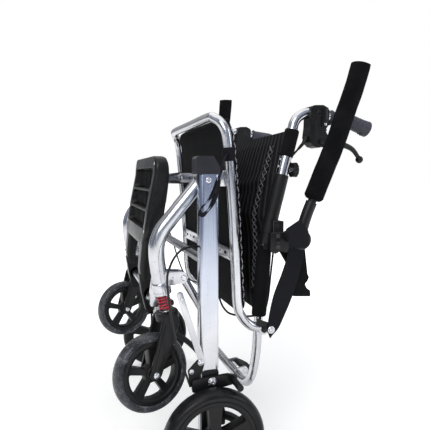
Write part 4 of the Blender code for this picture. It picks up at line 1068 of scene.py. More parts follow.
def at_share(pts, share):
    """The point at a share of a line's length."""
    lengths = [(b - a).length for a, b in zip(pts, pts[1:])]
    left = share * sum(lengths)
    for (a, b), size in zip(zip(pts, pts[1:]), lengths):
        if left <= size:
            return a.lerp(b, left / size if size else 0.0)
        left -= size
    return pts[-1].copy()


def seat_cloth():
    def bowl(u, v, z):
        edge = (1 - abs(u) ** 8) * (1 - abs(v) ** 8)
        crease = 0.0007 * noise.noise(Vector((u * 3.0, v * 3.4, 1.7)))
        return cushion_y(z) + 0.0006 + 0.0024 * (1 - edge ** 0.5) - 0.0012 * edge + crease

    def rear(u, v, z):
        edge = (1 - abs(u) ** 8) * (1 - abs(v) ** 8)
        return cushion_y(z) + 0.0098 - 0.0022 * (1 - edge ** 0.5)

    panel = pillow(0.3, 0.7165, lambda v: 0.1975 - (0.022 * max(0.0, (v - 0.9) / 0.1) ** 1.6), bowl, rear,
                   LINING, 56, 60)
    hem = []
    for side in (1, -1):
        hem += stitches([(side * 0.19, seat_y(z) + 0.0004, z) for z in eased([0.33, 0.69], 20)], 0.0065,
                        0.00035, DARK_THREAD, out=(0, -1, 0), across=(1, 0, 0), gap=0.35)
    panel = joined("seat_board_cover", [panel] + hem)
    place(panel, "seat", ["seat_panel"])

    z0, z1, half = 0.301, 0.724, 0.1895

    def base(u, v, z):
        fall = (1 - abs(u) ** 5) ** 0.5 * (1 - abs(v) ** 11) ** 0.5
        return cushion_y(z) + 0.0114 + 0.003 * (1 - fall)

    def crown(u, v, z):
        fall = (1 - abs(u) ** 5) ** 0.5 * (1 - abs(v) ** 11) ** 0.5
        groove = 0.0
        for line in (-0.42, 0.42):
            groove += math.exp(-((u - line) / 0.03) ** 2)
        wrinkle = 0.0009 * noise.noise(Vector((u * 5.0, v * 6.0, 0.3)))
        lift = 0.0065 + 0.0205 * fall * (0.88 + 0.12 * (1 - u * u)) - 0.003 * groove * fall + wrinkle
        return cushion_y(z) + 0.0114 + lift

    pad = pillow(z0, z1, lambda v: half * (1 - 0.018 * (1 - v * v)), base, crown, CLOTH, 64, 72)
    pad = puffed(pad, 0.0048, 3.0, 0.0035)
    soft = pad.modifiers.new("soft", "SUBSURF")
    soft.levels = soft.render_levels = 1
    parts = [baked(pad)]
    for side in (1, -1):
        piping = [(side * (half * 0.992 - 0.0035), cushion_y(z) + 0.0142, z)
                  for z in eased([0.326, 0.702], 40)]
        parts.append(sweep(smooth(piping, 1), 0.0022, SLEEVE, 12))
        line = [(side * (half + 0.0028), cushion_y(z) + 0.0215, z) for z in eased([0.32, 0.7], 30)]
        parts += stitches(line, 0.015, 0.0011, THREAD, 0.0012, (side, 0, 0), (0, 1, 0), 0.45)
    pad = joined("seat_cushion", parts)
    place(pad, "seat", ["seat_pad"])


# Back
def back_line(z):
    (ka, kz), (ta, tz) = BACK_KINK, BACK_TOP
    return ka + (ta - ka) * (z - kz) / (tz - kz)


U_LINE = [(0.1697, 0.1255), (0.215, 0.1315), (0.27, 0.1345), (0.437, 0.148), (0.5, 0.153)]


def u_line(z):
    return between(U_LINE, z)


def back_frame():
    half = [
        (U_X, u_line(0.462), 0.462), (U_X, u_line(0.437), 0.437), (U_X, u_line(0.36), 0.36),
        (U_X, u_line(0.27), 0.27), (U_X, u_line(0.215), 0.215), (U_X, 0.124, 0.17),
        (U_X - 0.004, 0.119, 0.15), (U_X - 0.016, 0.115, 0.136), (U_X - 0.04, 0.1135, 0.1303),
        (U_X - 0.07, 0.113, 0.1295)]
    loop = half + [(0, 0.113, 0.1295)] + [(-x, y, z) for x, y, z in reversed(half)]
    parts = [sweep(smooth(loop, 5), U_R, ALLOY_Z, 36)]
    by, bz = SEAT_B
    for side in (1, -1):
        for z_from, z_to, look in ((0.456, 0.52, TUBE_BLACK), (0.52, 0.695, ALLOY_Z)):
            upper = [(side * BACK_X, back_line(z), z) for z in (z_from, (z_from + z_to) / 2, z_to)]
            parts.append(sweep(upper, BACK_R, look, 36, inner=0.0112))
        link = [(side * (U_X - 0.003), u_line(0.46), 0.4615), (side * 0.203, u_line(0.46) - 0.003, 0.4635),
                (side * (BACK_X + 0.002), back_line(0.466), 0.466)]
        parts.append(sweep(link, 0.0095, TUBE_BLACK, 24, up=(0, 1, 0), ends=0.001))
        parts.append(lathe([(0.005, 0.0), (0.005, 0.037)], (side * U_X, by, bz), ZINC, (side, 0, 0)))
        parts.append(lathe([
            (0.005, 0.0342), (0.0065, 0.0344), (0.0065, 0.0362), (0.005, 0.0371)
        ], (side * U_X, by, bz), BLACK, (side, 0, 0), 28))
        for z in (0.632, 0.617):
            parts += bolt(back_line(z) - BACK_R + 0.0003, z, side * (BACK_X + 0.002), 1, 0.0028, 0.0016,
                          axis=(0, -1, -0.2))
    ear = [(0.108, 0.118), (0.108, 0.142), (0.136, 0.145), (0.142, 0.138), (0.142, 0.128), (0.13, 0.118)]
    for x in (0.052, 0.108):
        parts.append(prism(rounded(ear, 0.004), "x", x, x + 0.004, ALLOY_EAR, 0.0007, 2))
    parts.append(pin(0.003, 0.051, 0.113, (0.134, 0.1365), ZINC, sides=20))
    place(joined("back_tubes", parts), "back", ["back_frame"])


def cloth_line(z):
    """The back cloth's middle: Y for a height, bowed forward between its tubes."""
    return between([
        (0.296, 0.1372), (0.36, 0.1423), (0.437, 0.148), (0.452, 0.1484), (0.478, 0.1475),
        (0.51, back_line(0.51) - 0.004), (0.69, back_line(0.69) - 0.004)], z)


def cloth_half(z):
    """Half the back cloth's width."""
    return between([
        (0.296, 0.18), (0.44, 0.178), (0.48, 0.176), (0.52, 0.198), (0.64, 0.2035), (0.69, 0.206)], z)


def back_cloth():
    """Ribbed back cloth with two columns of zigzag seam, a plain band on top, and its four sleeves."""
    z0, z1 = 0.3, 0.6925
    across, along = 420, 110
    bm = bmesh.new()
    sheets = []
    for offset in (-1, 1):
        rows = []
        for j in range(along + 1):
            v = j / along
            row = []
            for i in range(across + 1):
                u = i / across * 2 - 1
                top = z1 - 0.003 * (1 - u * u)
                z = z0 + (top - z0) * v
                x = u * cloth_half(z)
                bow = -0.011 * (1 - u * u) * math.sin(math.pi * min(1.0, max(0.0, (z - 0.3) / 0.4)))
                fold = -0.004 * math.exp(-((z - 0.575 - 0.03 * u * u) / 0.012) ** 2) * (1 - u ** 4)
                band = 1.0 if z > top - 0.024 or abs(x) > 0.17 or z < 0.325 else 0.0
                rib = 0.0 if band else 0.0013 * math.cos(2 * math.pi * x * (1 + 1.25 * (z - 0.5)) / RIB)
                y = cloth_line(z) + bow + fold - rib + offset * 0.0016
                row.append(bm.verts.new((x, y, z)))
            rows.append(row)
        sheets.append(rows)
    closed_grids(bm, *sheets)
    cloth = joined("back_mesh", [shape(bm, MESH)], 60.0)
    place(cloth, "back", ["backrest"])

    parts = []
    for side in (1, -1):
        rise = [0.29, 0.2912, 0.2945, 0.33, 0.36, 0.39, 0.42, 0.437, 0.446]
        low = [(side * U_X, u_line(z), z) for z in rise]
        parts.append(sweep(smooth(low, 1), [
            0.012, 0.015, 0.0166, 0.017, 0.0168, 0.0169, 0.0165, 0.016, 0.014], SLEEVE, 40, flat=0.785))
        rise = [0.6375, 0.6385, 0.642, 0.655, 0.672, 0.686, 0.6915, 0.693]
        high = [(side * BACK_X, back_line(z), z) for z in rise]
        parts.append(sweep(high, [
            0.014, 0.0146, 0.0149, 0.015, 0.0151, 0.0153, 0.0151, 0.0144], SLEEVE, 40, inner=0.0134))
        for swing in (LATTICE_SWING, -LATTICE_SWING):
            line = [(side * (0.16 + 0.006 * math.sin(z * 9)), cloth_line(z) - 0.0062 - 0.008 *
                     (1 - 0.64) * math.sin(math.pi * min(1.0, (z - 0.3) / 0.4)), z)
                    for z in eased([0.345, 0.664], 44)]
            parts += stitches(line, 0.015, 0.0013, LATTICE, swing, (0, -1, 0), (1, 0, 0), 0.0)
    sleeves = joined("back_sleeves", parts)
    place(sleeves, "back", ())


def arm_hubs():
    ay, az = ARM_P
    hub = [(0.1374, 0.4423), (0.138, 0.4811), (0.1543, 0.479), (0.174, 0.476), (0.186, 0.474),
           (0.186, 0.46), (0.1757, 0.4373), (0.1602, 0.4412), (0.1494, 0.4357)]
    clamp = [(0.1434, 0.479), (0.142, 0.5077), (0.167, 0.5039), (0.167, 0.475)]
    tail = [(0.165, 0.47), (0.19, 0.476), (0.22, 0.468), (0.2327, 0.4415), (0.2409, 0.3815),
            (0.2446, 0.3748), (0.2405, 0.366), (0.2342, 0.3605), (0.239, 0.351), (0.2476, 0.3444),
            (0.2491, 0.3313), (0.2065, 0.3348), (0.198, 0.36), (0.19, 0.41), (0.165, 0.45)]
    cover = [(0.135, 0.4958), (0.1648, 0.5133), (0.1839, 0.4904), (0.185, 0.464), (0.1782, 0.4588),
             (0.1422, 0.4605), (0.1429, 0.4827)]
    z_low, z_high = 0.478, 0.5995
    path = [(BACK_X, back_line(z), z) for z in eased([z_low, z_high], 9)]
    radii = [0.0157, 0.0156, 0.0155, 0.0155, 0.0155, 0.0155, 0.0155, 0.0155, 0.0154]
    bore = [(BACK_X, back_line(z), z) for z in (0.44, 0.5275, 0.615)]
    elbow = [(U_X - 0.003, u_line(0.46), 0.4615), (0.2, 0.1445, 0.464),
             (BACK_X + 0.0028, back_line(0.466), 0.466)]
    body = prism(rounded(hub, 0.003), "x", 0.204, 0.2405, BLACK, 0.0022, 3)
    body = carve(body, [sweep(bore, BACK_R + 0.0004, BLACK, 32), sweep(elbow, 0.01, BLACK, 24, up=(0, 1, 0))])
    block = prism(rounded(clamp, 0.0015, 3), "x", 0.204, 0.2413, SATIN, 0.0014, 3)
    parts = [
        sweep(path, radii, TUBE_BLACK, 40, inner=0.0134, ends=0.0006),
        body, carve(block, [sweep(bore, BACK_R + 0.0004, BLACK, 32)]),
        prism(rounded([(0.15, 0.47), (0.159, 0.47), (0.16, 0.443), (0.151, 0.443)], 0.0015), "x", 0.24,
              0.2418, SATIN, 0.0008, 2),
        prism(rounded(tail, 0.002), "x", 0.2045, 0.2125, LINING, 0.0016, 3),
        prism(rounded(cover, 0.0025), "x", 0.3114, 0.314, WEBBING, 0.0008, 2),
        lathe([(0.012, 0.239), (0.012, 0.2688), (0.0112, 0.27)], (0, ay, az), BLACK),
        pin(0.0055, 0.26, 0.309, (ay, az), ZINC, sides=28),
        lathe([(0.0072, 0.3079), (0.0095, 0.3081), (0.0095, 0.3104), (0.0082, 0.3116), (0.003, 0.3118)],
              (0, ay, az), BLACK, sides=36)]
    # Thin pale strips and a ring: painted highlights along the clamp block's edges, the lower block's ridge
    # and the screw recess's rim
    for a0, a1, b0, b1 in ((0.1436, 0.1446, 0.4815, 0.506), (0.1446, 0.1655, 0.5036, 0.5048),
                           (0.1652, 0.1664, 0.48, 0.5036), (0.1395, 0.174, 0.4797, 0.4807)):
        parts.append(prism(rounded(box2(a0, a1, b0, b1), 0.0004, 2), "x", 0.2409, 0.2417, EDGE_HIGHLIGHT_PLASTIC, 0.0002,
                           1))
    for b0, b1 in ((0.447, 0.454), (0.4585, 0.46), (0.469, 0.478)):
        parts.append(prism(rounded(box2(0.15, 0.1585, b0, b1), 0.0004, 2), "x", 0.2414, 0.2421, EDGE_HIGHLIGHT_PLASTIC,
                           0.0002, 1))
    parts.append(lathe([
        (0.004, 0.2409), (0.004, 0.2417), (0.0032, 0.2417), (0.0032, 0.2409)
    ], (0, 0.1519, 0.4952), EDGE_HIGHLIGHT_PLASTIC, sides=24, ring=True))
    parts += bolt(0.1519, 0.4952, 0.2409, 1, 0.0022, 0.0008, look=BLACK)
    parts += bolt(ay + 0.0052, az + 0.0052, 0.3116, 1, 0.0019, 0.001, look=GREY_PLASTIC)
    both("arm_mount", parts, "back", ["arm_hub"])


def armrests():
    ay, az = ARM_P
    x = ARM_X
    upper = [(0.2217, 0.5989), (0.2496, 0.6628), (0.2693, 0.7175), (0.2889, 0.769)]
    core = smooth(yz(x, [(ay, az), (0.1935, 0.531)] + upper + [(0.3006, 0.8051)]), 4)
    arm = smooth(yz(x, [(ay + 0.001, az + 0.004), (0.1805, 0.497), (0.189, 0.5225), (0.1988, 0.5455)]), 5)
    disc = [(0.0061, 0.2836), (0.0178, 0.2836), (0.019, 0.2848), (0.019, 0.305), (0.0178, 0.3066),
            (0.015, 0.3075), (0.0105, 0.3073), (0.0098, 0.306), (0.0061, 0.306)]
    both("arm_bar", [
        sweep(core, 0.0085, TUBE_BLACK, 28), sweep(arm, 0.0115, SATIN, 36, flat=0.92),
        lathe(disc, (0, ay, az), SATIN, (1, 0, 0), 56, ring=True)
    ], "armrest", ["armrest"], FAR_ARM_TURN, ARM_P)
    path = smooth(yz(x, [(0.2009, 0.5504)] + upper + [(0.3018, 0.8102), (0.3037, 0.8177)]), 8)
    radii = [FOAM_R + 0.00035 * noise.noise(p * 60.0) for p in path]
    pad = sweep(path, radii, FOAM, 44, ends=0.0085)
    near, far = both("arm_pad", [pad], "armrest", ["arm_foam"], FAR_ARM_TURN, ARM_P)


# Handles and brakes
HOUSING_HALF = 0.015
HANDLE = [
    (0.1947, 0.6908), (0.199, 0.7075), (0.208, 0.72), (0.224, 0.7285), (0.242, 0.73), (0.26, 0.7275),
    (0.2875, 0.7214), (0.3378, 0.7146), (0.3508, 0.7101), (0.376, 0.7014)]


def handles():
    start = [(back_line(z), z) for z in (0.52, 0.63)]
    tube = sweep(smooth(yz(BACK_X, start + HANDLE), 6), HANDLE_R, ALLOY_Z, 36)
    both("handle_bar", [tube], "handle", ["handle"])


def grips():
    """Ribbed grips with a collar, finger beads and a lip."""
    line = yz(BACK_X, [
        (0.282, 0.7226), (0.2875, 0.7214), (0.313, 0.7179), (0.3378, 0.7146), (0.3508, 0.7101),
        (0.37, 0.7035), (0.38, 0.7)])
    route = [at_share(line, k / 72) for k in range(73)]
    radii = []
    for k in range(73):
        s = k / 72
        wide = 0.0146 + 0.0014 * s + 0.0016 * max(0.0, (s - 0.8) / 0.2)
        collar = 0.0022 * math.exp(-((s - 0.03) / 0.025) ** 2)
        ribs = 0.00045 * math.sin(2 * math.pi * s * 17) if 0.12 < s < 0.8 else 0.0
        radii.append(wide + collar + ribs)
    low = []
    for k in range(4):
        y, z = 0.3035 + 0.0165 * k, 0.7195 - 0.135 * 0.0165 * k
        low.append(lathe([
            (0.0002, -0.0085), (0.0045, -0.0078), (0.0068, -0.004), (0.0074, 0.0), (0.0068, 0.004),
            (0.0045, 0.0078), (0.0002, 0.0085)], (BACK_X, y - 0.003, z - 0.011), GRIP, (1, 0, 0), 28))
    lip = sweep(yz(BACK_X, [
        (0.366, 0.6985), (0.369, 0.6925), (0.369, 0.6865)]), [0.012, 0.0118, 0.009], GRIP, 28, ends=0.004)
    both("grip_rubber", [sweep(route, radii, GRIP, 44, ends=0.0035), lip] + low, "handle", ["grip"])


def brake_bodies():
    """The brake levers' housings on the handle tubes."""
    side = HOUSING_HALF
    body = [(0.2315, 0.742), (0.23, 0.723), (0.2295, 0.7), (0.227, 0.68), (0.229, 0.668),
            (0.239, 0.659), (0.25, 0.6565), (0.262, 0.659), (0.274, 0.672), (0.2735, 0.68),
            (0.266, 0.694), (0.274, 0.706), (0.2745, 0.739), (0.26, 0.746), (0.24, 0.745)]
    axis = Vector((0, 0.985, -0.17))
    clamp = lathe([
        (0.0112, -0.012), (0.015, -0.012), (0.0162, -0.0108), (0.0162, -0.001), (0.0155, -0.0002),
        (0.0155, 0.0016), (0.0162, 0.0024), (0.0162, 0.0108), (0.015, 0.012), (0.0112, 0.012)
    ], (BACK_X, 0.258, 0.728), SATIN, axis, 48)
    nose = lathe([
        (0.0002, -0.012), (0.005, -0.01), (0.0056, -0.004), (0.005, 0.005), (0.0038, 0.01), (0.003, 0.0135),
        (0.0022, 0.014)], (BACK_X, 0.2275, 0.6735), BLACK, (0, -0.62, -0.78), 28)
    lobe = lathe(mirrored([
        (0.013, -side + 0.001), (0.0158, -side + 0.002), (0.0166, -side + 0.004)
    ]), (BACK_X, 0.251, 0.676), SATIN, (1, 0, 0), 44)
    ridge = plate((0.256, 0.27, 0.701, 0.74), 0.002, "x", BACK_X + side - 0.001,
                  BACK_X + side + 0.0016, SATIN, 0.0009, 2)
    parts = [prism(rounded(body, 0.004), "x", BACK_X - side, BACK_X + side, BLACK, 0.004, 5), clamp, nose,
             lobe, ridge]
    parts += bolt(0.2649, 0.706, BACK_X + side + 0.0012, 1, 0.003, 0.0016)
    parts += bolt(0.247, 0.664, BACK_X + side - 0.0022, 1, 0.0022, 0.0012)
    for sign in (1, -1):
        parts += bolt(*LEVER_P, BACK_X + sign * (side + 0.003), sign, 0.0034, 0.0012, look=SATIN)
    parts.append(lathe([(0.0028, -side - 0.003), (0.0028, side + 0.003)], (BACK_X, *LEVER_P), ZINC, sides=20))
    both("brake_body", parts, "handle", ["brake_housing"])


def brake_levers():
    side = HOUSING_HALF
    bridge = (0.283, 0.666)
    lever = smooth(yz(BACK_X, [
        bridge, (0.303, 0.6668), (0.3244, 0.6635), (0.344, 0.655), (0.359, 0.6385)]), 8)
    parts = [sweep(lever, eased([0.0075, 0.007, 0.0062, 0.0054, 0.0046], len(lever)), SATIN, 32, flat=0.8),
             lathe([(0.0066, -side - 0.002), (0.0066, side + 0.002)], (BACK_X, *bridge), SATIN, sides=36)]
    ball = []
    for k in range(11):
        a = math.pi * (k / 10) - math.pi / 2
        ball.append((max(0.0002, 0.0083 * math.cos(a)), 0.0083 * math.sin(a)))
    parts.append(lathe(ball, (BACK_X, 0.3618, 0.6335), SATIN, (0, 0.2, -1), 36))
    for sign in (-1, 1):
        cheek = prism(link2(LEVER_P, bridge, 0.0058, 0.0068), "x", BACK_X + sign * (side + 0.0003),
                      BACK_X + sign * (side + 0.003), SATIN, 0.0008, 2)
        parts.append(cheek)
    both("brake_grip", parts, "lever", ["brake_lever"])


def knobs():
    """Six-lobed clamp knobs behind the back tubes."""
    knob_y, knob_z = back_line(0.61) + BACK_R, 0.61
    lobes = []
    for k in range(72):
        a = 2 * math.pi * k / 72
        r = 0.0152 + 0.0017 * math.cos(6 * a)
        lobes.append((BACK_X + r * math.cos(a), knob_z + r * math.sin(a)))
    both("clamp_knob", [
        prism(lobes, "y", knob_y + 0.007, knob_y + 0.018, BLACK, 0.0024, 4),
        lathe([(0.0065, 0.0022), (0.0065, 0.0085)], (BACK_X, knob_y, knob_z), ZINC, (0, 1, 0), 36),
        lathe([(0.007, 0.016), (0.007, 0.0182), (0.006, 0.0188), (0.0002, 0.0189)], (BACK_X, knob_y, knob_z),
              SATIN, (0, 1, 0), 36)], "knob", ["star_knob"])


def brakes():
    arm = [(-0.042, 0.186), (-0.042, 0.2115), (0.03, 0.2145), (0.048, 0.21), (0.05, 0.194), (0.02, 0.19)]
    link = [
        (-0.049, 0.229), (-0.044, 0.196), (-0.032, 0.196), (-0.017, 0.235), (-0.018, 0.249), (-0.03, 0.248)]
    pad_y, pad_z = WHEEL_C[1] + 0.112 * 0.42, WHEEL_C[2] + 0.112 * 0.9075
    parts = [
        prism(rounded(arm, 0.005), "x", 0.2795, 0.2858, SATIN, 0.0016, 3),
        prism(rounded(link, 0.005), "x", 0.2772, 0.2803, BLACK, 0.0008, 2),
        prism(link2((-0.063, 0.376), (-0.02, 0.241), 0.0062, 0.0062), "x", 0.2772, 0.28, ALLOY_EAR, 0.0006,
              2),
        lathe([(0.0058, 0.28), (0.0065, 0.2808), (0.0065, 0.324), (0.0057, 0.325)], (0, pad_y, pad_z), BLACK,
              sides=32),
        pin(0.0045, 0.279, 0.2836, (-0.0426, 0.228), ZINC, sides=28)]
    parts += bolt(-0.0236, 0.2426, 0.28, 1, 0.005, 0.0026, 0.0062)
    parts += bolt(-0.0426, 0.228, 0.2826, 1, 0.0042, 0.002)
    parts += bolt(-0.06, 0.368, 0.28, 1, 0.0038, 0.0018)
    both("brake_bar", parts, "brake", ["brake_arm"])


CABLE_ROUTE = [
    (0.218, 0.2209, 0.6652), (0.205, 0.2075, 0.645), (0.1955, 0.196, 0.628), (0.194, 0.186, 0.6),
    (0.194, 0.176, 0.56), (0.193, 0.167, 0.5), (0.19, 0.169, 0.45), (0.186, 0.164, 0.38),
    (0.183, 0.159, 0.325), (0.174, 0.154, 0.296), (0.168, 0.137, 0.286), (0.166, 0.115, 0.285),
    (0.166, 0.09, 0.29), (0.168, 0.069, 0.3), (0.174, 0.052, 0.325), (0.188, 0.038, 0.37),
    (0.206, 0.027, 0.42), (0.222, 0.014, 0.448), (0.2335, -0.002, 0.457), (0.245, -0.034, 0.46),
    (0.266, -0.06, 0.456), (0.2815, -0.081, 0.434), (0.285, -0.088, 0.395), (0.285, -0.072, 0.285),
    (0.2826, -0.045, 0.1988)]


def cables():
    route = smooth(CABLE_ROUTE, 10)
    for suffix, side in (("left", 1), ("right", -1)):
        curve = bpy.data.curves.new("cable_" + suffix, "CURVE")
        curve.dimensions = "3D"
        curve.bevel_depth = CABLE_R
        curve.bevel_resolution = 4
        curve.use_fill_caps = True
        line = curve.splines.new("POLY")
        line.points.add(len(route) - 1)
        for target, point in zip(line.points, route):
            target.co = (point.x * side, point.y - MID_Y, point.z, 1)
        made = linked("cable_" + suffix, curve)
        curve.materials.append(CABLE)
        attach(made, "frame")
        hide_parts("brake_cable_" + suffix[0])
        first = CABLE_ROUTE[0]
        sleeve = joined("cable_sleeve_" + suffix, [
            lathe([(0.0024, 0.0), (0.0036, 0.0004), (0.0034, 0.01), (0.0026, 0.017), (0.0024, 0.0172)],
                  (first[0] * side, first[1] + 0.0012, first[2] + 0.0015), BLACK,
                  (-0.46 * side, -0.48, -0.75), 24)])
        place(sleeve, "handle_" + suffix, ())


# Webbing and the fold lever
def ribbon(rows, thick, look, across=10):
    """A strap through rows of (centre, half-width vector), a sheet of one thickness with round edges."""
    bm = bmesh.new()
    rings = []
    centres = [Vector(c) for c, _ in rows]
    for i, (_, half) in enumerate(rows):
        tangent = centres[min(i + 1, len(rows) - 1)] - centres[max(i - 1, 0)]
        normal = tangent.cross(Vector(half)).normalized() * thick / 2
        ring = []
        for face, order in ((1, range(across + 1)), (-1, range(across, -1, -1))):
            for k in order:
                s = -1 + 2 * k / across
                edge = 1.0 if abs(s) < 0.99 else 0.35
                ring.append(bm.verts.new(centres[i] + Vector(half) * s + normal * edge * face))
        rings.append(ring)
    skinned(bm, rings)
    return shape(bm, look, "ribbon")


def strap_rows(knots, per=6):
    """Smooth rows for a ribbon from (centre, half-width vector) knots."""
    centres = smooth([k[0] for k in knots], per)
    halves = smooth([k[1] for k in knots], per)
    return list(zip(centres, halves))


def straps():
    belt = [
        ((0.224, 0.208, 0.47), (0, 0.015, -0.004)), ((0.226, 0.2075, 0.456), (0, 0.0192, -0.0045)),
        ((0.2262, 0.2045, 0.443), (0, 0.02, -0.004)), ((0.2262, 0.202, 0.423), (0, 0.019, -0.004)),
        ((0.2258, 0.19, 0.383), (0, 0.02, -0.0055)), ((0.2252, 0.1745, 0.341), (0, 0.0205, -0.0075)),
        ((0.224, 0.1625, 0.305), (0, 0.017, -0.007)), ((0.2226, 0.154, 0.276), (0, 0.0125, -0.005)),
        ((0.2222, 0.149, 0.261), (0, 0.006, -0.002)), ((0.2222, 0.1472, 0.2515), (0, 0.001, -0.0005))]
    strap = ribbon(strap_rows(belt, 7), 0.0018, WEBBING, 14)
    near = joined("strap_left", [strap], 50.0)
    far = far_twin(near, "strap_right")
    for piece, suffix in ((near, "l"), (far, "r")):
        piece.data.transform(Matrix.Translation((0, -MID_Y, 0)))
        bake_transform(piece)
        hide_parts("strap_" + suffix)


def pull_strap():
    """A cuff round the seat tube, and its loop over the leg's cap."""
    line = [(SEAT_X, seat_y(z), z) for z in eased([0.627, 0.6545], 12)]
    radii = [0.0124, 0.0131, 0.0133, 0.0128, 0.0133, 0.0135, 0.0129, 0.0133, 0.0134, 0.0129, 0.0131, 0.0124]
    parts = [sweep(line, radii, WEBBING, 40, inner=0.0107)]
    knots = [
        ((0.2125, 0.056, 0.645), (0.001, 0.003, 0.004)), ((0.2235, 0.048, 0.64), (0.0014, 0.0022, 0.003)),
        ((0.242, 0.035, 0.627), (0.0016, 0.0022, 0.002)), ((0.262, 0.024, 0.608), (0.001, 0.0024, 0.001)),
        ((0.278, 0.0125, 0.59), (0.0002, 0.0024, 0.001)), ((0.28, 0.006, 0.572), (0, 0.003, 0.0014)),
        ((0.28, -0.004, 0.554), (0, 0.0034, 0.0022)), ((0.28, -0.016, 0.542), (0, 0.003, 0.0036)),
        ((0.28, -0.024, 0.536), (0, 0.0022, 0.0046)), ((0.2802, -0.0245, 0.527), (0, 0.0036, 0.0026)),
        ((0.2806, -0.016, 0.525), (0, 0.002, 0.0044)), ((0.2808, -0.006, 0.533), (0, 0.0034, 0.0036)),
        ((0.2808, 0.003, 0.548), (0, 0.004, 0.002)), ((0.2805, 0.011, 0.572), (0, 0.003, 0.001)),
        ((0.2775, 0.015, 0.59), (0.0004, 0.0024, 0.001))]
    parts.append(ribbon(strap_rows(knots, 6), 0.002, WEBBING, 10))
    pull = joined("pull_loop", parts, 50.0)
    place(pull, "seat", ["pull_strap"])


def fold_pedal():
    pedal = [(0.131, 0.13), (0.156, 0.115), (0.164, 0.117), (0.162, 0.129), (0.139, 0.1425)]
    parts = [
        prism(rounded(pedal, 0.003), "x", 0.057, 0.107, BLACK, 0.0015, 3),
        lathe([(0.0034, 0.057), (0.0062, 0.057), (0.0062, 0.107), (0.0034, 0.107)], (0, 0.134, 0.1365),
              BLACK, (1, 0, 0), 32, ring=True)]
    for k in range(5):
        y = 0.144 + 0.0036 * k
        z = 0.139 - 0.6 * (y - 0.144)
        parts.append(sweep([
            (0.06, y, z + 0.0005), (0.082, y, z + 0.0005), (0.104, y, z + 0.0005)], 0.0009, BLACK, 10))
    place(joined("fold_pedal_shell", parts), "fold_pedal", ["fold_lever"])


rear_frame()
rear_wheels()
castors()
front_frame()
struts()
footplate()
seat_frame()
seat_cloth()
back_frame()
back_cloth()
arm_hubs()
armrests()
handles()
grips()
brake_bodies()
brake_levers()
knobs()
brakes()
cables()
straps()
pull_strap()
fold_pedal()


# Floor, light and camera
FLOOR_GLOW, ROOM_LIGHT, MIRROR_LIGHT = 0.28, 0.55, 0.65
SKY = [(0.0, (0.5, 0.49, 0.47)), (0.42, (0.78, 0.76, 0.72)), (0.5, (0.46, 0.5, 0.6)),
       (0.62, (0.72, 0.77, 0.86)), (0.8, (1.0, 1.0, 1.0))]
BANDS = [
    (0.0, (0.86, 0.8, 0.7)), (0.06, (1.0, 0.95, 0.86)), (0.12, (0.26, 0.26, 0.29)),
    (0.2, (0.86, 0.88, 0.92)), (0.31, (0.2, 0.22, 0.27)), (0.39, (1.0, 1.0, 1.0)), (0.47, (0.86, 0.9, 1.0)),
    (0.56, (0.62, 0.68, 0.8)), (0.66, (0.2, 0.22, 0.28)), (0.74, (1.0, 1.0, 1.0)), (0.86, (0.4, 0.42, 0.48)),
    (0.95, (0.92, 0.88, 0.8))]


def floor():
    """A pale floor that keeps the shadow, and is white to the camera and to metal further out."""
    mesh = bpy.data.meshes.new("floor")
    mesh.from_pydata([(-9, -9, 0), (9, -9, 0), (9, 9, 0), (-9, 9, 0)], [], [(0, 1, 2, 3)])
    made = linked("floor", mesh)
    mat = bpy.data.materials.new("floor_pale")
    mat.use_nodes = True
    mat.node_tree.nodes.clear()
    net = Nodes(mat.node_tree)
    rays = net.node("ShaderNodeLightPath").outputs
    seen = net.math("MAXIMUM", rays["Is Camera Ray"], net.times(rays["Is Glossy Ray"], MIRROR_LIGHT))
    place_in = net.node("ShaderNodeTexCoord").outputs["Object"]
    away = net.node("ShaderNodeVectorMath", {"operation": "LENGTH"}, _0=place_in).outputs["Value"]
    level = net.spread(away, 0.6, 1.7, FLOOR_GLOW, 1.0)
    glow = net.node("ShaderNodeEmission", Strength=net.times(seen, level))
    diffuse = net.node("ShaderNodeBsdfDiffuse", Color=rgba(0.86, 0.86, 0.86))
    lit = net.node("ShaderNodeAddShader", _0=diffuse.outputs[0], _1=glow.outputs[0])
    net.node("ShaderNodeOutputMaterial", Surface=lit.outputs[0])
    mesh.materials.append(mat)


def lamp(name, at, target, size, watts, colour):
    data = bpy.data.lights.new(name, "AREA")
    data.shape = "RECTANGLE"
    data.size = data.size_y = size
    data.energy = watts
    data.color = colour
    made = linked(name, data)
    made.location = at
    made.rotation_euler = (Vector(target) - Vector(at)).to_track_quat("-Z", "Y").to_euler()


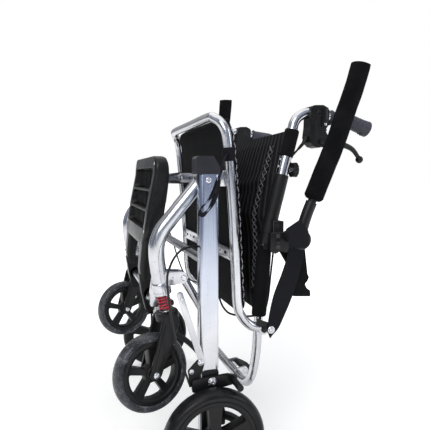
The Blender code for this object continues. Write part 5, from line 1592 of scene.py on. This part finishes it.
def studio():
    """White to the camera; metal sees a pale room with a cool side, a warm side and darker bands."""
    world = bpy.data.worlds.new("studio")
    bpy.context.scene.world = world
    world.use_nodes = True
    world.node_tree.nodes.clear()
    net = Nodes(world.node_tree)
    where = net.node("ShaderNodeTexCoord").outputs["Generated"]
    split = net.node("ShaderNodeSeparateXYZ", _0=where).outputs
    rise = net.ramp(net.spread(split["Z"], -1.0, 1.0), SKY)
    turn = net.math("ARCTAN2", split["Y"], split["X"])
    bands = net.ramp(net.spread(turn, -math.pi, math.pi), BANDS)
    mirror = net.node("ShaderNodeBackground", Color=net.mix(0.85, rise, bands, "MULTIPLY"),
                      Strength=MIRROR_LIGHT)
    room = net.node("ShaderNodeBackground", Color=rise, Strength=ROOM_LIGHT)
    white = net.node("ShaderNodeBackground", Color=rgba(1, 1, 1))
    rays = net.node("ShaderNodeLightPath").outputs
    shiny = net.math("MAXIMUM", rays["Is Glossy Ray"], rays["Is Transmission Ray"])
    lit = net.node("ShaderNodeMixShader", Fac=shiny, _1=room.outputs[0], _2=mirror.outputs[0])
    pick = net.node("ShaderNodeMixShader", Fac=rays["Is Camera Ray"], _1=lit.outputs[0], _2=white.outputs[0])
    net.node("ShaderNodeOutputWorld", Surface=pick.outputs[0])


def camera():
    """At the photograph's viewing angle; its focal length and frame are in pixels."""
    focal, frame_width = 450.0, 430.0
    data = bpy.data.cameras.new("camera")
    data.sensor_width = 36.0
    data.lens = focal / frame_width * 36.0
    data.clip_start = 0.02
    made = linked("camera", data)
    at = Vector((1.08, -0.252 - MID_Y, 0.595))
    look = Vector((-0.9487, 0.3046, -0.0842)).normalized()
    right = Vector((0.3057, 0.9521, 0.0)).normalized()
    up = right.cross(look).normalized()
    turn = Matrix((right, up, -look)).transposed()
    made.matrix_world = Matrix.Translation(at) @ turn.to_4x4()
    bpy.context.scene.camera = made


floor()
studio()
lamp("key", (2.0, -1.5, 2.1), (0, 0, 0.4), 1.5, 32.0, (1.0, 0.985, 0.96))
lamp("fill", (1.4, 2.2, 1.5), (0, 0, 0.45), 1.4, 16.0, (0.93, 0.96, 1.0))
lamp("top", (-0.2, -0.1, 2.6), (0, 0, 0.3), 3.0, 28.0, (1.0, 1.0, 1.0))
camera()
bpy.context.scene.view_settings.view_transform = "Standard"
